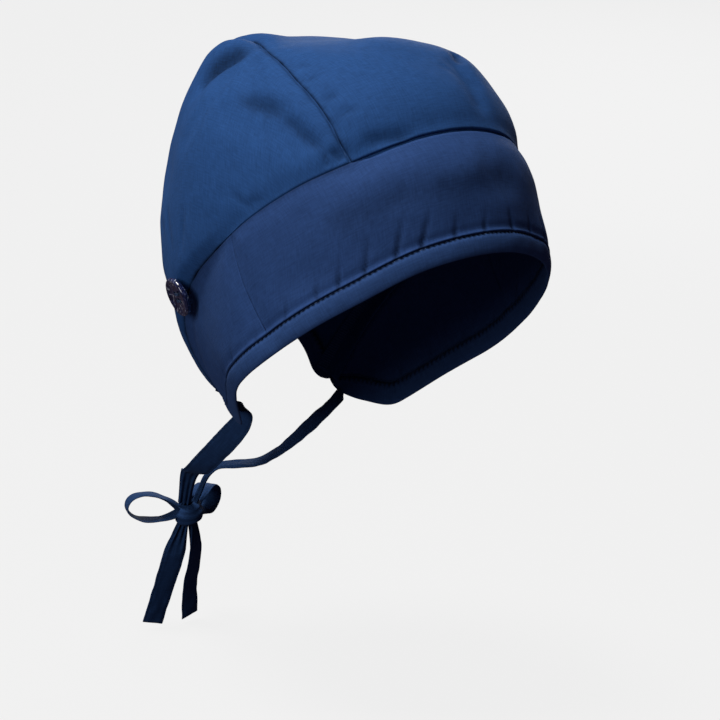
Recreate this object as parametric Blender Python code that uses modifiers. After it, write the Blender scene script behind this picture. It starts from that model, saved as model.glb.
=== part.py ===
"""Tie-back scrub cap, worn shape: crown of three panels, turned-up band, hems, buttons and a bow.

Metres, +Z up, front at -Y, wearer's right at -X.
The origin is the inside of the crown's top, where the cap sits on a head.
Every cloth piece starts as a sheet on the inner form and is thickened outwards.
"""

from math import atan2, cos, degrees, pi, radians, sin, sqrt

import bmesh
import bpy
import numpy as np
from mathutils import Matrix, Vector

# Inner form, measured from its middle, which lies RISE below the top.
HALF_WIDTH = 0.0836     # to each side
FRONT_REACH = 0.0973    # to the forehead
BACK_REACH = 0.1046     # to the back of the head
RISE = 0.1190           # widest level up to the top
LEAN = 0.177            # how far the form shifts back for each metre up
PLAN_POWER = 2.09       # squareness seen from above, 2 is an ellipse
CROWN_POWER = 3.15      # squareness of the top seen from the side
LOW_FRONT = 0.300       # depth below the widest level at which the form would close
LOW_SIDE = 0.190
LOW_BACK = 0.130
NAPE_PINCH = 0.23       # share of the width that the ties draw in at the nape
PINCH_START = 0.020     # below the widest level, where the pinch begins
PINCH_SPAN = 0.060      # height over which it grows

# Cloth
CROWN_CLOTH = 0.0012
BAND_CLOTH = 0.0014
HEM_CLOTH = 0.0024      # folded three times
TIE_CLOTH = 0.0018
SEAM_GAP = 0.0003       # between neighbouring pieces
HEM_GAP = 0.0004        # between a hem and the piece it edges
SEAM_TUCK = 0.0010      # how far a seam pulls the cloth in
TUCK_REACH = 0.006      # how far from the seam the pull is felt
BACK_FULLNESS = 0.0080  # how far the crown stands out over the band behind the ears
FULL_DROP = 0.014       # height over which it stands out
BROW_TUCK = 0.0030      # how far the band draws the cloth in along its seam over the brow
TUCK_DROP = 0.011       # height to each side of that seam
FOLD_DEPTH = 0.0040     # deepest fold
FOLD_BREADTH = 0.0200   # broadest fold

# Edges, measured down from the top
BROW_DROP = 0.0912      # lower edge at the middle of the front
NAPE_DROP = 0.1977      # lower edge where the ties start
BAND_DEPTH = 0.0674     # lower edge up to the crown seam, at the ears
BAND_END = 150.0        # bearing at which the band becomes a tie
ARCH_RISE = 0.0450      # nape opening, seam above the band's end
HEM_DEPTH = 0.0100
NAPE_HEM_DEPTH = 0.0090

# Lower edge and band seam. The edge is a share of the way from BROW_DROP to NAPE_DROP,
# the band a share of BAND_DEPTH.
EDGES = (
    # bearing, edge, band
    (0.0, 0.000, 0.855),
    (22.0, 0.058, 0.877),
    (45.0, 0.236, 0.944),
    (90.0, 0.648, 1.000),
    (125.0, 0.917, 0.880),
    (150.0, 1.000, 0.282),
)

# Seam between the crown's middle panel and its side, as directions from the form's middle.
CROWN_SEAM = (
    # bearing, rise angle
    (45.5, 42.8),
    (48.5, 47.0),
    (54.5, 52.6),
    (62.5, 57.4),
    (73.0, 62.5),
    (92.0, 67.3),
    (126.0, 69.1),
    (148.0, 60.0),
    (158.0, 46.0),
    (163.0, 28.0),
    (165.0, 8.0),
)
CROWN_SEAM_START = 42.0     # bearing where it leaves the band seam
CROWN_SEAM_END = 60.0       # degrees around the nape arch from the band's end

# Vertical seam of the band, bearings at its top, middle and foot
SIDE_SEAM = (
    # share down, bearing
    (0.0, 86.5),
    (0.5, 82.0),
    (1.0, 73.5),
)

# Folds: a line between two directions, with breadth and depth as shares of FOLD_BREADTH
# and FOLD_DEPTH. A negative depth stands out.
FOLDS = (
    # name, bearing, rise angle, bearing, rise angle, breadth, depth
    ("dent behind the crown", 126.0, 54.0, 106.0, 58.0, 0.45, 0.80),
    ("roll over the back", 146.0, 61.0, 122.0, 69.0, 0.72, -1.35),
    ("dent under the peak", 153.0, 54.0, 146.0, 40.0, 0.80, 0.78),
    ("hollow behind the ear", 141.0, -9.0, 146.0, -27.0, 0.75, 1.00),
    ("flare over the left temple", -28.0, 19.0, -38.0, 14.0, 0.50, -0.40),
    ("dip across the top", 100.0, 76.0, -70.0, 80.0, 0.80, 0.35),
    ("swell of the forehead", -30.0, 63.0, 5.0, 73.0, 0.90, -1.00),
    ("pinch at the top seam", 92.0, 63.0, 86.0, 56.0, 0.32, 0.50),
    ("hollow beside the seam", 92.0, 49.0, 58.0, 43.0, 0.45, 0.45),
    ("flat behind the ear", 128.0, 48.0, 134.0, 32.0, 0.80, 0.90),
    ("fullness over the button", 134.0, 14.0, 134.0, 4.0, 0.80, -0.50),
    ("crease to the back", 104.0, 52.0, 116.0, 40.0, 0.32, 0.30),
    ("fold over the forehead", -17.0, 60.0, -12.0, 51.0, 0.32, 0.50),
    ("waist at the left temple", -38.0, 37.5, -58.0, 31.0, 0.35, 0.90),
    ("roll of the band", 45.0, 25.0, 5.0, 35.0, 0.40, -0.30),
    ("hollow of the band", 60.0, 8.0, 10.0, 24.0, 0.55, 0.25),
    ("left dent behind the crown", -120.0, 60.0, -100.0, 55.0, 0.45, 0.60),
    ("left hollow beside the seam", -84.0, 48.0, -60.0, 40.0, 0.45, 0.40),
    ("left crease to the back", -126.0, 42.0, -140.0, 28.0, 0.35, 0.40),
    ("back hollow", 176.0, 42.0, 150.0, 30.0, 0.45, 0.40),
)

# Mask-loop buttons
BUTTON_ACROSS = 0.0200
BUTTON_THICK = 0.0032
BUTTON_DISH = 0.0009        # depth of the dished face
BUTTON_RIM = 0.0022         # width of the raised rim
BUTTON_HOLE = 0.0020
BUTTON_HOLE_SPREAD = 0.0048  # across the square of holes
BUTTON_BEARING = 121.0
BUTTON_STANDOFF = 0.0001    # clearance between button and cloth

# Ties and bow
TIE_WIDTH = 0.0125
TIE_CLEAR = 0.0004          # between the band's end and the tie
KNOT_WIDTH = 0.0130
KNOT_HEIGHT = 0.0150
KNOT_DEEP = 0.0110
KNOT_SIDE = 0.0110          # towards the wearer's right
KNOT_BACK = 0.0900          # behind the origin
KNOT_DROP = 0.2560          # below the origin
LOOP_REACH = 0.0270
LOOP_OPEN = 0.0170
TAIL_LENGTH = 0.0580

# Grid cells. Pieces that meet at a seam share its points.
SEAM_CELLS = 34         # along the crown's long seams
TOP_CELLS = 14          # across the crown's middle panel
SIDE_CELLS = 11         # across its side panels
EAR_CELLS = SEAM_CELLS // 2
BAND_CELLS = 7          # up the band
NAPE_HEM_CELLS = 22
STRAP_CELLS = 12

MIDDLE = np.array([0.0, -LEAN * RISE, -RISE])


def ease(t):
    """Smooth step from 0 to 1."""
    t = min(max(t, 0.0), 1.0)
    return t * t * (3 - 2 * t)


def read_rows(rows, key, column):
    """Value of one column at a key, by a smooth curve through the rows, level at the first."""
    keys = np.array([row[0] for row in rows])
    values = np.array([row[column] for row in rows])
    slopes = np.gradient(values, keys)
    slopes[0] = 0.0
    i = int(np.clip(np.searchsorted(keys, key) - 1, 0, len(keys) - 2))
    span = keys[i + 1] - keys[i]
    t = (key - keys[i]) / span
    a, b = values[i], values[i + 1]
    return ((2 * t**3 - 3 * t**2 + 1) * a + (t**3 - 2 * t**2 + t) * span * slopes[i]
            + (-2 * t**3 + 3 * t**2) * b + (t**3 - t**2) * span * slopes[i + 1])


def reach_at(x, y):
    """How far a plan direction lies from the middle, as a share of the form's plan."""
    reach = FRONT_REACH if y < 0 else BACK_REACH
    return (abs(x / HALF_WIDTH) ** PLAN_POWER + abs(y / reach) ** PLAN_POWER) ** (1 / PLAN_POWER)


def taper(side, back, depth):
    """Share of the plan that is left at a depth below the widest level."""
    if back > 0:
        low = LOW_SIDE + (LOW_BACK - LOW_SIDE) * ease(back)
    else:
        low = LOW_SIDE + (LOW_FRONT - LOW_SIDE) * ease(-back)
    pinch = max(0.0, (depth - PINCH_START) / PINCH_SPAN) ** 2
    pinch *= NAPE_PINCH * (0.35 + 0.65 * abs(side)) * ease(2 * back + 0.5)
    return sqrt(max(1 - (depth / low) ** 2, 0.05)) * (1 - pinch)


def lay(point):
    """The form's point nearest a point, straight out from the middle or, low down, level."""
    x, y, z = point - MIDDLE
    y -= LEAN * z
    if z > 0:
        scale = (reach_at(x, y) ** CROWN_POWER + (z / RISE) ** CROWN_POWER) ** (-1 / CROWN_POWER)
        x, y, z = x * scale, y * scale, z * scale
    else:
        across = sqrt(x * x + y * y)
        scale = taper(x / across, y / across, -z) / reach_at(x, y)
        x, y = x * scale, y * scale
    return MIDDLE + np.array([x, y + LEAN * z, z])


def outward(point):
    """Direction away from the form at a point on it."""
    away = point - MIDDLE
    away[1] -= LEAN * away[2]
    away[2] = max(away[2], 0.0)
    return away / np.linalg.norm(away)


def on_form(bearing, height):
    """Point of the form at a bearing and a height."""
    angle = radians(bearing)
    level = height - MIDDLE[2]
    side, back = -sin(angle), -cos(angle)
    if level > 0:
        share = max(1 - (level / RISE) ** CROWN_POWER, 0.0) ** (1 / CROWN_POWER)
    else:
        share = taper(side, back, -level)
    out = share / reach_at(side, back)
    return MIDDLE + np.array([side * out, back * out + LEAN * level, level])


def toward(bearing, rise):
    """Point of the form in a direction from its middle."""
    b, r = radians(bearing), radians(rise)
    away = np.array([-sin(b) * cos(r), -cos(b) * cos(r), sin(r)]) * RISE
    away[1] += LEAN * away[2]
    return lay(MIDDLE + away)


def bearing_of(point):
    """Bearing of a point on the form, 0 at the front and positive to the wearer's right."""
    x, y, z = point - MIDDLE
    return degrees(atan2(-x, LEAN * z - y))


def evenly(points, count):
    """Points at equal steps along a line."""
    points = np.array(points)
    steps = np.linalg.norm(np.diff(points, axis=0), axis=1)
    run = np.concatenate([[0.0], np.cumsum(steps)])
    marks = np.linspace(0, run[-1], count)
    return np.stack([np.interp(marks, run, points[:, k]) for k in range(3)], axis=1)


def smooth_line(points, count):
    """A Catmull-Rom curve through a few points, evenly spaced."""
    points = [np.array(p) for p in points]
    points = [2 * points[0] - points[1]] + points + [2 * points[-1] - points[-2]]
    line = []
    for a, b, c, d in zip(points, points[1:], points[2:], points[3:]):
        for t in np.linspace(0, 1, 12, endpoint=False):
            line.append(0.5 * (2 * b + (c - a) * t + (2 * a - 5 * b + 4 * c - d) * t**2
                               + (3 * b - a - 3 * c + d) * t**3))
    line.append(points[-2])
    return evenly(line, count)


def beside(line, distance):
    """A line on the form moved across it, upwards where it runs from the wearer's left to right."""
    runs = np.gradient(line, axis=0)
    moved = []
    for point, run in zip(line, runs):
        side = np.cross(run, outward(point))
        moved.append(lay(point + side / np.linalg.norm(side) * distance))
    return np.array(moved)


def edge_height(bearing):
    """Height of the lower edge."""
    share = read_rows(EDGES, abs(bearing), 1)
    return -(BROW_DROP + (NAPE_DROP - BROW_DROP) * share)


def band_height(bearing):
    """Height of the seam between band and crown."""
    return edge_height(bearing) + BAND_DEPTH * read_rows(EDGES, abs(bearing), 2)


def lower_edge(start, end, count):
    """The cap's lower edge between two bearings."""
    return evenly([on_form(b, edge_height(b)) for b in np.linspace(start, end, 181)], count)


def band_seam(start, end, count):
    """The seam between band and crown between two bearings."""
    return evenly([on_form(b, band_height(b)) for b in np.linspace(start, end, 181)], count)


def hem_top(count):
    """The hem's upper edge, from the wearer's left to the right."""
    return beside(lower_edge(-BAND_END, BAND_END, count), HEM_DEPTH)


def nape_arch(start, end, count, side=1):
    """Seam over the nape opening, in degrees around the arch from the band's end."""
    foot = band_height(BAND_END)
    line = []
    for turn in np.radians(np.linspace(start, end, 61)):
        bearing = 180 - (180 - BAND_END) * cos(turn)
        line.append(on_form(side * bearing, foot + ARCH_RISE * sin(turn)))
    return evenly(line, count)


def crown_seam(count, side=1):
    """Seam between the crown's middle panel and one side, front to back."""
    first = on_form(CROWN_SEAM_START, band_height(CROWN_SEAM_START))
    last = nape_arch(0, CROWN_SEAM_END, 61)[-1]
    line = smooth_line([first] + [toward(*row) for row in CROWN_SEAM] + [last], 241)
    line = np.array([lay(p) for p in line]) * [side, 1, 1]
    return evenly(line, count)


def side_seam(count, side=1):
    """Vertical seam of the band, foot to top."""
    hem = hem_top(481)
    foot_bearing = SIDE_SEAM[-1][1]
    foot = hem[int(np.argmin([abs(bearing_of(p) - foot_bearing) for p in hem]))]
    top = SIDE_SEAM[0][1]
    line = []
    for down in np.linspace(1, 0, 25):
        bearing = read_rows(SIDE_SEAM, down, 1)
        line.append(on_form(bearing, foot[2] + (band_height(top) - foot[2]) * (1 - down)))
    return evenly(np.array(line) * [side, 1, 1], count)


def hem_pieces():
    """The hem's upper edge, cut where the band's side seams meet it: left ear, front, right ear."""
    line = hem_top(961)
    left, right = (int(np.argmin(np.linalg.norm(line - side_seam(2, side)[0], axis=1)))
                   for side in (-1, 1))
    return (evenly(line[:left + 1], EAR_CELLS + 1),
            evenly(line[left:right + 1], TOP_CELLS + 2 * SIDE_CELLS + 1),
            evenly(line[right:], EAR_CELLS + 1))


def joined(lines):
    """Lines that meet end to end as one line."""
    return np.concatenate([lines[0]] + [line[1:] for line in lines[1:]])


def seam_points():
    """Points on every seam that pulls the crown and band in."""
    lines = [band_seam(-BAND_END, BAND_END, 240)]
    for side in (1, -1):
        lines.append(crown_seam(120, side))
        lines.append(side_seam(30, side))
    return np.concatenate(lines)


SEAMS = seam_points()
FOLD_ENDS = [(toward(*row[1:3]), toward(*row[3:5]), row[5] * FOLD_BREADTH, row[6] * FOLD_DEPTH)
             for row in FOLDS]


def sink(point):
    """How far the cloth lies inside the form at a point, with its seams and folds."""
    near = np.sqrt(((SEAMS - point) ** 2).sum(axis=1).min())
    depth = SEAM_TUCK * np.exp(-(near / TUCK_REACH) ** 2)
    calm = ease(near / (2 * TUCK_REACH) + 0.25)
    bearing = abs(bearing_of(point))
    below = band_height(min(bearing, BAND_END)) - point[2]
    depth += BACK_FULLNESS * ease(below / FULL_DROP + 0.5) * ease((bearing - 80) / 40)
    depth += BROW_TUCK * np.exp(-(below / TUCK_DROP) ** 2) * ease((62 - bearing) / 30)
    for start, end, breadth, deep in FOLD_ENDS:
        run = end - start
        along = np.clip((point - start) @ run / (run @ run), 0, 1)
        off = np.linalg.norm(point - start - run * along)
        depth += deep * np.exp(-(off / breadth) ** 2) * calm
    return depth


def cloth(point):
    """A point of the form moved onto the cloth's inner face."""
    point = lay(point)
    return point - outward(point) * sink(point)


def finish_material(name, colour, roughness, sheen=0.0):
    """A plain surface of one colour."""
    material = bpy.data.materials.new(name)
    material.use_nodes = True
    shader = material.node_tree.nodes["Principled BSDF"]
    shader.inputs["Base Color"].default_value = (*colour, 1)
    shader.inputs["Roughness"].default_value = roughness
    shader.inputs["Metallic"].default_value = 0.0
    shader.inputs["Sheen Weight"].default_value = sheen
    return material


def add_object(name, mesh_data, collection, material):
    """A named object with its own material."""
    item = bpy.data.objects.new(name, mesh_data)
    collection.objects.link(item)
    mesh_data.materials.append(material)
    return item


def mesh_of(name, bm):
    """Turn a bmesh into mesh data with smooth faces and crisp rims."""
    mesh_data = bpy.data.meshes.new(name)
    bm.to_mesh(mesh_data)
    bm.free()
    mesh_data.shade_smooth()
    mesh_data.set_sharp_from_angle(angle=radians(50))
    return mesh_data


def grid(place, cells):
    """A grid whose corners run from 0 to 1, moved by a rule."""
    bm = bmesh.new()
    bmesh.ops.create_grid(bm, x_segments=cells[0], y_segments=cells[1], size=0.5)
    for vert in bm.verts:
        vert.co = place(vert.co.x + 0.5, vert.co.y + 0.5)
    bm.normal_update()
    return bm


def panel(name, bottom, top, start, end, thickness, collection, material, trim=SEAM_GAP / 2):
    """A cloth panel between four edges. Bottom and top run alike, and start joins their starts.

    Every wall leaves the form straight outwards, so neighbours keep their gap in any fold.
    """
    cells = (len(bottom) - 1, len(start) - 1)

    def place(u, v):
        i, j = round(u * cells[0]), round(v * cells[1])
        point = (1 - v) * bottom[i] + v * top[i] + (1 - u) * start[j] + u * end[j]
        point -= (1 - u) * ((1 - v) * bottom[0] + v * top[0])
        point -= u * ((1 - v) * bottom[-1] + v * top[-1])
        return cloth(point)

    bm = grid(place, cells)
    rim = bmesh.ops.inset_region(bm, faces=bm.faces, thickness=trim, use_boundary=True,
                                 use_even_offset=True)
    bmesh.ops.delete(bm, geom=rim["faces"], context="FACES")
    shell = bmesh.ops.extrude_face_region(bm, geom=bm.faces[:], use_keep_orig=True)
    for vert in [item for item in shell["geom"] if isinstance(item, bmesh.types.BMVert)]:
        vert.co += Vector(outward(np.array(vert.co)) * thickness)
    bmesh.ops.recalc_face_normals(bm, faces=bm.faces)
    return add_object(name, mesh_of(name, bm), collection, material)


def ribbon(name, centre, across, widths, thickness, collection, material):
    """A flat strap along a line, with a direction across and a width at each point."""
    cells = (len(centre) - 1, 1)

    def place(u, v):
        i = round(u * cells[0])
        return centre[i] + across[i] * widths[i] * (v - 0.5)

    item = add_object(name, mesh_of(name, grid(place, cells)), collection, material)
    solid = item.modifiers.new("Cloth", "SOLIDIFY")
    solid.thickness = thickness
    solid.offset = 0.0
    return item


def unit(vector):
    """A vector of length 1."""
    vector = np.array(vector, dtype=float)
    return vector / np.linalg.norm(vector)


def build_crown(collection):
    """Middle panel from the forehead to the nape arch, and two side panels."""
    navy = finish_material("crown_cloth", (0.020, 0.060, 0.165), 0.75, 0.3)
    half = TOP_CELLS // 2
    panel("crown_top",
          crown_seam(SEAM_CELLS + 1, 1), crown_seam(SEAM_CELLS + 1, -1),
          band_seam(CROWN_SEAM_START, -CROWN_SEAM_START, TOP_CELLS + 1),
          joined([nape_arch(CROWN_SEAM_END, 90, half + 1, 1),
                  nape_arch(90, CROWN_SEAM_END, half + 1, -1)]),
          CROWN_CLOTH, collection, navy)
    turn = SIDE_SEAM[0][1]
    for side, word in ((1, "right"), (-1, "left")):
        colour = finish_material("crown_side_cloth_" + word, (0.020, 0.060, 0.165), 0.75, 0.3)
        panel("crown_side_" + word,
              crown_seam(SEAM_CELLS + 1, side),
              band_seam(side * turn, side * BAND_END, SEAM_CELLS + 1),
              band_seam(side * CROWN_SEAM_START, side * turn, SIDE_CELLS + 1),
              nape_arch(CROWN_SEAM_END, 0, SIDE_CELLS + 1, side),
              CROWN_CLOTH, collection, colour)


def build_band(collection):
    """Turned-up band: a front piece and two ear pieces, above the hem."""
    left_foot, front_foot, right_foot = hem_pieces()
    turn = SIDE_SEAM[0][1]
    head = joined([band_seam(-turn, -CROWN_SEAM_START, SIDE_CELLS + 1),
                   band_seam(-CROWN_SEAM_START, CROWN_SEAM_START, TOP_CELLS + 1),
                   band_seam(CROWN_SEAM_START, turn, SIDE_CELLS + 1)])
    navy = finish_material("front_band_cloth", (0.018, 0.050, 0.140), 0.75, 0.3)
    panel("front_band", front_foot, head, side_seam(BAND_CELLS + 1, -1),
          side_seam(BAND_CELLS + 1, 1), BAND_CLOTH, collection, navy)
    for side, word, foot in ((1, "right", right_foot), (-1, "left", left_foot[::-1])):
        colour = finish_material("side_band_cloth_" + word, (0.018, 0.052, 0.145), 0.75, 0.3)
        head = band_seam(side * turn, side * BAND_END, EAR_CELLS + 1)
        panel("side_band_" + word, foot, head, side_seam(BAND_CELLS + 1, side),
              evenly([foot[-1], head[-1]], BAND_CELLS + 1), BAND_CLOTH, collection, colour)


def build_hems(collection):
    """Folded hem along the lower edge, and the binding of the nape opening."""
    brow = finish_material("brow_hem_cloth", (0.022, 0.062, 0.160), 0.72, 0.3)
    nape = finish_material("nape_hem_cloth", (0.020, 0.056, 0.150), 0.72, 0.3)
    high = joined(hem_pieces())
    low = beside(high, -HEM_DEPTH)
    panel("brow_hem", low, high, evenly([low[0], high[0]], 2), evenly([low[-1], high[-1]], 2),
          HEM_CLOTH, collection, brow, HEM_GAP - SEAM_GAP / 2)
    half = NAPE_HEM_CELLS // 2
    seam = joined([nape_arch(0, 90, half + 1, 1), nape_arch(90, 0, half + 1, -1)])
    free = beside(seam, -NAPE_HEM_DEPTH)
    panel("nape_hem", free, seam, evenly([free[0], seam[0]], 2), evenly([free[-1], seam[-1]], 2),
          HEM_CLOTH, collection, nape, HEM_GAP - SEAM_GAP / 2)


def button_profile():
    """Half section of a button, outer side from top to bottom, then back to the axis."""
    edge = BUTTON_ACROSS / 2
    round_off = BUTTON_THICK * 0.28
    return [
        (0.0, BUTTON_THICK - BUTTON_DISH),
        (edge - BUTTON_RIM - BUTTON_DISH, BUTTON_THICK - BUTTON_DISH),
        (edge - BUTTON_RIM, BUTTON_THICK),
        (edge - round_off, BUTTON_THICK),
        (edge, BUTTON_THICK - round_off),
        (edge, round_off),
        (edge - round_off, 0.0),
        (0.0, 0.0),
    ]


def button_seat(side):
    """Middle of a button's back and the way it faces, just clear of the cloth under it."""
    middle = on_form(side * BUTTON_BEARING, band_height(BUTTON_BEARING))
    out = outward(middle)
    level = unit(np.cross([0, 0, 1], out))
    rise = np.cross(out, level)
    reach = BUTTON_ACROSS / 2
    low, high = cloth(middle - rise * reach), cloth(middle + rise * reach)
    near, far = cloth(middle - level * reach), cloth(middle + level * reach)
    away = unit(np.cross(far - near, high - low))
    seat = cloth(middle)
    stand = 0.0
    for turn in np.linspace(0, 2 * pi, 16, endpoint=False):
        for share in (0.4, 0.7, 1.0):
            step = (level * cos(turn) + rise * sin(turn)) * reach * share
            stand = max(stand, (cloth(middle + step) - seat) @ away)
    return seat + away * (stand + max(CROWN_CLOTH, BAND_CLOTH) + BUTTON_STANDOFF), away


def build_buttons(collection, cutters):
    """Four-hole buttons on the band seam behind the ears, for the loops of a mask."""
    for side, word in ((1, "right"), (-1, "left")):
        bm = bmesh.new()
        verts = [bm.verts.new((x, 0, z)) for x, z in button_profile()]
        for a, b in zip(verts, verts[1:]):
            bm.edges.new((a, b))
        colour = finish_material("button_plastic_" + word, (0.006, 0.012, 0.035), 0.22)
        item = add_object("button_" + word, mesh_of("button_" + word, bm), collection, colour)
        turn = item.modifiers.new("Turned", "SCREW")
        turn.axis = "Z"
        turn.steps = turn.render_steps = 20
        turn.use_merge_vertices = True
        turn.merge_threshold = 0.00005

        seat, away = button_seat(side)
        facing = Vector(away).to_track_quat("Z", "Y").to_matrix().to_4x4()
        item.matrix_world = Matrix.Translation(Vector(seat)) @ facing
        for k in range(4):
            angle = pi / 4 + k * pi / 2
            reach = BUTTON_HOLE_SPREAD / 2 * sqrt(2) * 0.75
            bm = bmesh.new()
            bmesh.ops.create_cone(bm, cap_ends=True, segments=8, radius1=BUTTON_HOLE / 2,
                                  radius2=BUTTON_HOLE / 2, depth=4 * BUTTON_THICK)
            bmesh.ops.translate(bm, verts=bm.verts, vec=(reach * cos(angle), reach * sin(angle), 0))
            hole_mesh = bpy.data.meshes.new(f"button_hole_{word}_{k}")
            bm.to_mesh(hole_mesh)
            bm.free()
            cutter = bpy.data.objects.new(hole_mesh.name, hole_mesh)
            cutters.objects.link(cutter)
            cutter.matrix_world = item.matrix_world
            cutter.hide_render = True
            cutter.display_type = "WIRE"
            cut = item.modifiers.new(hole_mesh.name, "BOOLEAN")
            cut.operation = "DIFFERENCE"
            cut.object = cutter


def tie_seat():
    """Top corner of the right tie, its direction down the band's end and its way onwards."""
    high = hem_pieces()[2]
    low = cloth(beside(high, -HEM_DEPTH)[-1])
    top = cloth(on_form(BAND_END, band_height(BAND_END)))
    down = unit(low - top)
    out = outward(top)
    onward = unit(np.cross(down, out))
    past = max(0.0, (cloth(high[-1]) - top) @ onward) + TIE_CLEAR
    return top + down * 2 * SEAM_GAP + onward * past + out * (TIE_CLOTH / 2 + SEAM_GAP), down, onward


def build_bow(collection):
    """Ties from the band's ends to a knot behind the nape, with its loops and tails."""
    knot = np.array([-KNOT_SIDE, KNOT_BACK, -KNOT_DROP])
    bm = bmesh.new()
    bmesh.ops.create_cube(bm, size=1.0)
    bmesh.ops.scale(bm, vec=(KNOT_WIDTH * 1.16, KNOT_DEEP * 1.16, KNOT_HEIGHT * 1.16), verts=bm.verts)
    knot_cloth = finish_material("bow_knot_cloth", (0.012, 0.034, 0.100), 0.75, 0.3)
    item = add_object("bow_knot", mesh_of("bow_knot", bm), collection, knot_cloth)
    item.location = Vector(knot)
    rounding = item.modifiers.new("Rounded", "SUBSURF")
    rounding.levels = rounding.render_levels = 2

    for side, word in ((1, "right"), (-1, "left")):
        cloth_colour = finish_material("tie_cloth_" + word, (0.012, 0.034, 0.100), 0.75, 0.3)
        mirror = np.array([side, 1, 1])

        # Tie: from the end of the band round the nape to the top of the knot
        foot, down, onward = tie_seat()
        first = (foot + down * TIE_WIDTH / 2) * mirror
        last = knot + np.array([-KNOT_WIDTH * 0.27, 0, KNOT_HEIGHT / 2 + SEAM_GAP]) * mirror
        span = np.linalg.norm(last - first)
        line = smooth_line([first, first + (onward * 0.10 + down * 0.12) * mirror * span,
                            (first + last) / 2 + np.array([-0.01, 0.00, -0.07]) * mirror * span,
                            last + np.array([-0.05, -0.10, 0.20]) * mirror * span, last],
                           STRAP_CELLS + 1)
        marks = np.linspace(0, 1, STRAP_CELLS + 1)
        across = [unit((1 - ease(1.4 * t)) * down + ease(1.4 * t) * np.array([0.70, -0.69, -0.12]))
                  for t in marks]
        ribbon("tie_" + word, line, np.array(across) * mirror,
               [TIE_WIDTH * (1 - 0.45 * ease(2.5 * t - 1.5)) for t in marks], TIE_CLOTH,
               collection, cloth_colour)

        # Loop: a teardrop beside the knot
        out = unit([-0.86, 0.48, 0.10])
        rise = unit([0.10, -0.05, 1.0])
        through = np.cross(out, rise) * mirror
        start = knot + out * (KNOT_WIDTH / 2 + SEAM_GAP) * mirror
        line = []
        for turn in np.linspace(0.16, 2 * pi - 0.16, 81):
            width = sin(turn) * abs(sin(turn / 2)) ** 0.6
            way = out * LOOP_REACH * (1 - cos(turn)) / 2 + rise * LOOP_OPEN / 2 * width
            line.append(start + way * mirror)
        line = evenly(line, 2 * STRAP_CELLS + 1)
        ribbon("bow_loop_" + word, line, [through] * len(line), [TIE_WIDTH * 0.9] * len(line),
               TIE_CLOTH, collection, cloth_colour)

        # Tail: hangs from the bottom of the knot
        start = knot + np.array([-KNOT_WIDTH * 0.27, 0.0, -KNOT_HEIGHT * 0.46]) * mirror
        fall = np.array([-0.24, 0.10, -0.96])
        bow_out = np.array([0.05, 0.06, 0.0])
        line = smooth_line([start, start + fall * mirror * TAIL_LENGTH * 0.33,
                            start + (fall * 0.68 + bow_out) * mirror * TAIL_LENGTH,
                            start + (fall + 1.4 * bow_out) * mirror * TAIL_LENGTH], STRAP_CELLS + 1)
        across = [unit(np.array([0.86, -0.40 + 0.30 * t, -0.12])) for t in marks]
        ribbon("tail_" + word, line, np.array(across) * mirror,
               [TIE_WIDTH * (0.50 + 0.50 * ease(3 * t)) for t in marks], TIE_CLOTH,
               collection, cloth_colour)


def main():
    """Build the cap in an empty scene."""
    for item in list(bpy.data.objects):
        bpy.data.objects.remove(item)
    collection = bpy.data.collections.new("scrub_cap")
    cutters = bpy.data.collections.new("cutters")
    bpy.context.scene.collection.children.link(collection)
    bpy.context.scene.collection.children.link(cutters)
    build_crown(collection)
    build_band(collection)
    build_hems(collection)
    build_buttons(collection, cutters)
    build_bow(collection)


main()
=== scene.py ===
# %% [markdown]
# # A tie-back scrub cap in navy poplin
# A scrub cap is cut flat from thin cotton and takes its shape from the head. This one has a
# crown of three panels, a turned-up band across the brow, a folded hem all along its lower edge,
# an opening at the nape and two ties that meet in a bow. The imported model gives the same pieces
# as plain walls. Here each of them is made again as fine cloth, with its seams, folds and thread.

from functools import partial
from math import cos, pi, radians, sin

import bmesh
import bpy
import numpy as np
from mathutils import Matrix, Vector, kdtree, noise


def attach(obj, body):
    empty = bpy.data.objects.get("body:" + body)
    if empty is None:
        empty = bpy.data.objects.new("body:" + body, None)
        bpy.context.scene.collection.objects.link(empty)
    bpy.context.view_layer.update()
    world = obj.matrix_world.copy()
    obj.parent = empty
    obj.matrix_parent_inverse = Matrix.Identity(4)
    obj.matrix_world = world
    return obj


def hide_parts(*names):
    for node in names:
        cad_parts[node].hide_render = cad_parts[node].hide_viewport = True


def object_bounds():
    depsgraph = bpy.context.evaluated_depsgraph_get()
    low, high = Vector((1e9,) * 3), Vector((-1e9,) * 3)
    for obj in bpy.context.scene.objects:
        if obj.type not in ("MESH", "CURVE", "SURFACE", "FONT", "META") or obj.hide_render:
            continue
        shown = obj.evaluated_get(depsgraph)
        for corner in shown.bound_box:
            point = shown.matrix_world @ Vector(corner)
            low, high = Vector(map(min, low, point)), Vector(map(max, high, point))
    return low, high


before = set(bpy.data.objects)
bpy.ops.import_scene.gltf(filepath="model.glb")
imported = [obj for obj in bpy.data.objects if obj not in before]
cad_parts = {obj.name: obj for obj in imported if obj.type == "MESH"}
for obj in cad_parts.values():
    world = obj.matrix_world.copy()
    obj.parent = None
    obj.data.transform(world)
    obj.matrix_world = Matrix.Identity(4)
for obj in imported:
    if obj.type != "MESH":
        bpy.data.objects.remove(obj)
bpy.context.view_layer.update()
bpy.context.scene.view_settings.view_transform = "Standard"
print("nodes in the packed cap:", len(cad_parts))

# %% [markdown]
# ## The head form
# Cloth that is worn has no shape of its own, so the lesson starts with what it lies on: a plain
# head form. Above its widest level it closes like a squared dome, below it tapers, and it pinches
# in at the nape where the ties pull. Every point of the cap is a point of this form, moved out or
# in by a few millimetres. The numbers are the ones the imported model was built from.

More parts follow.
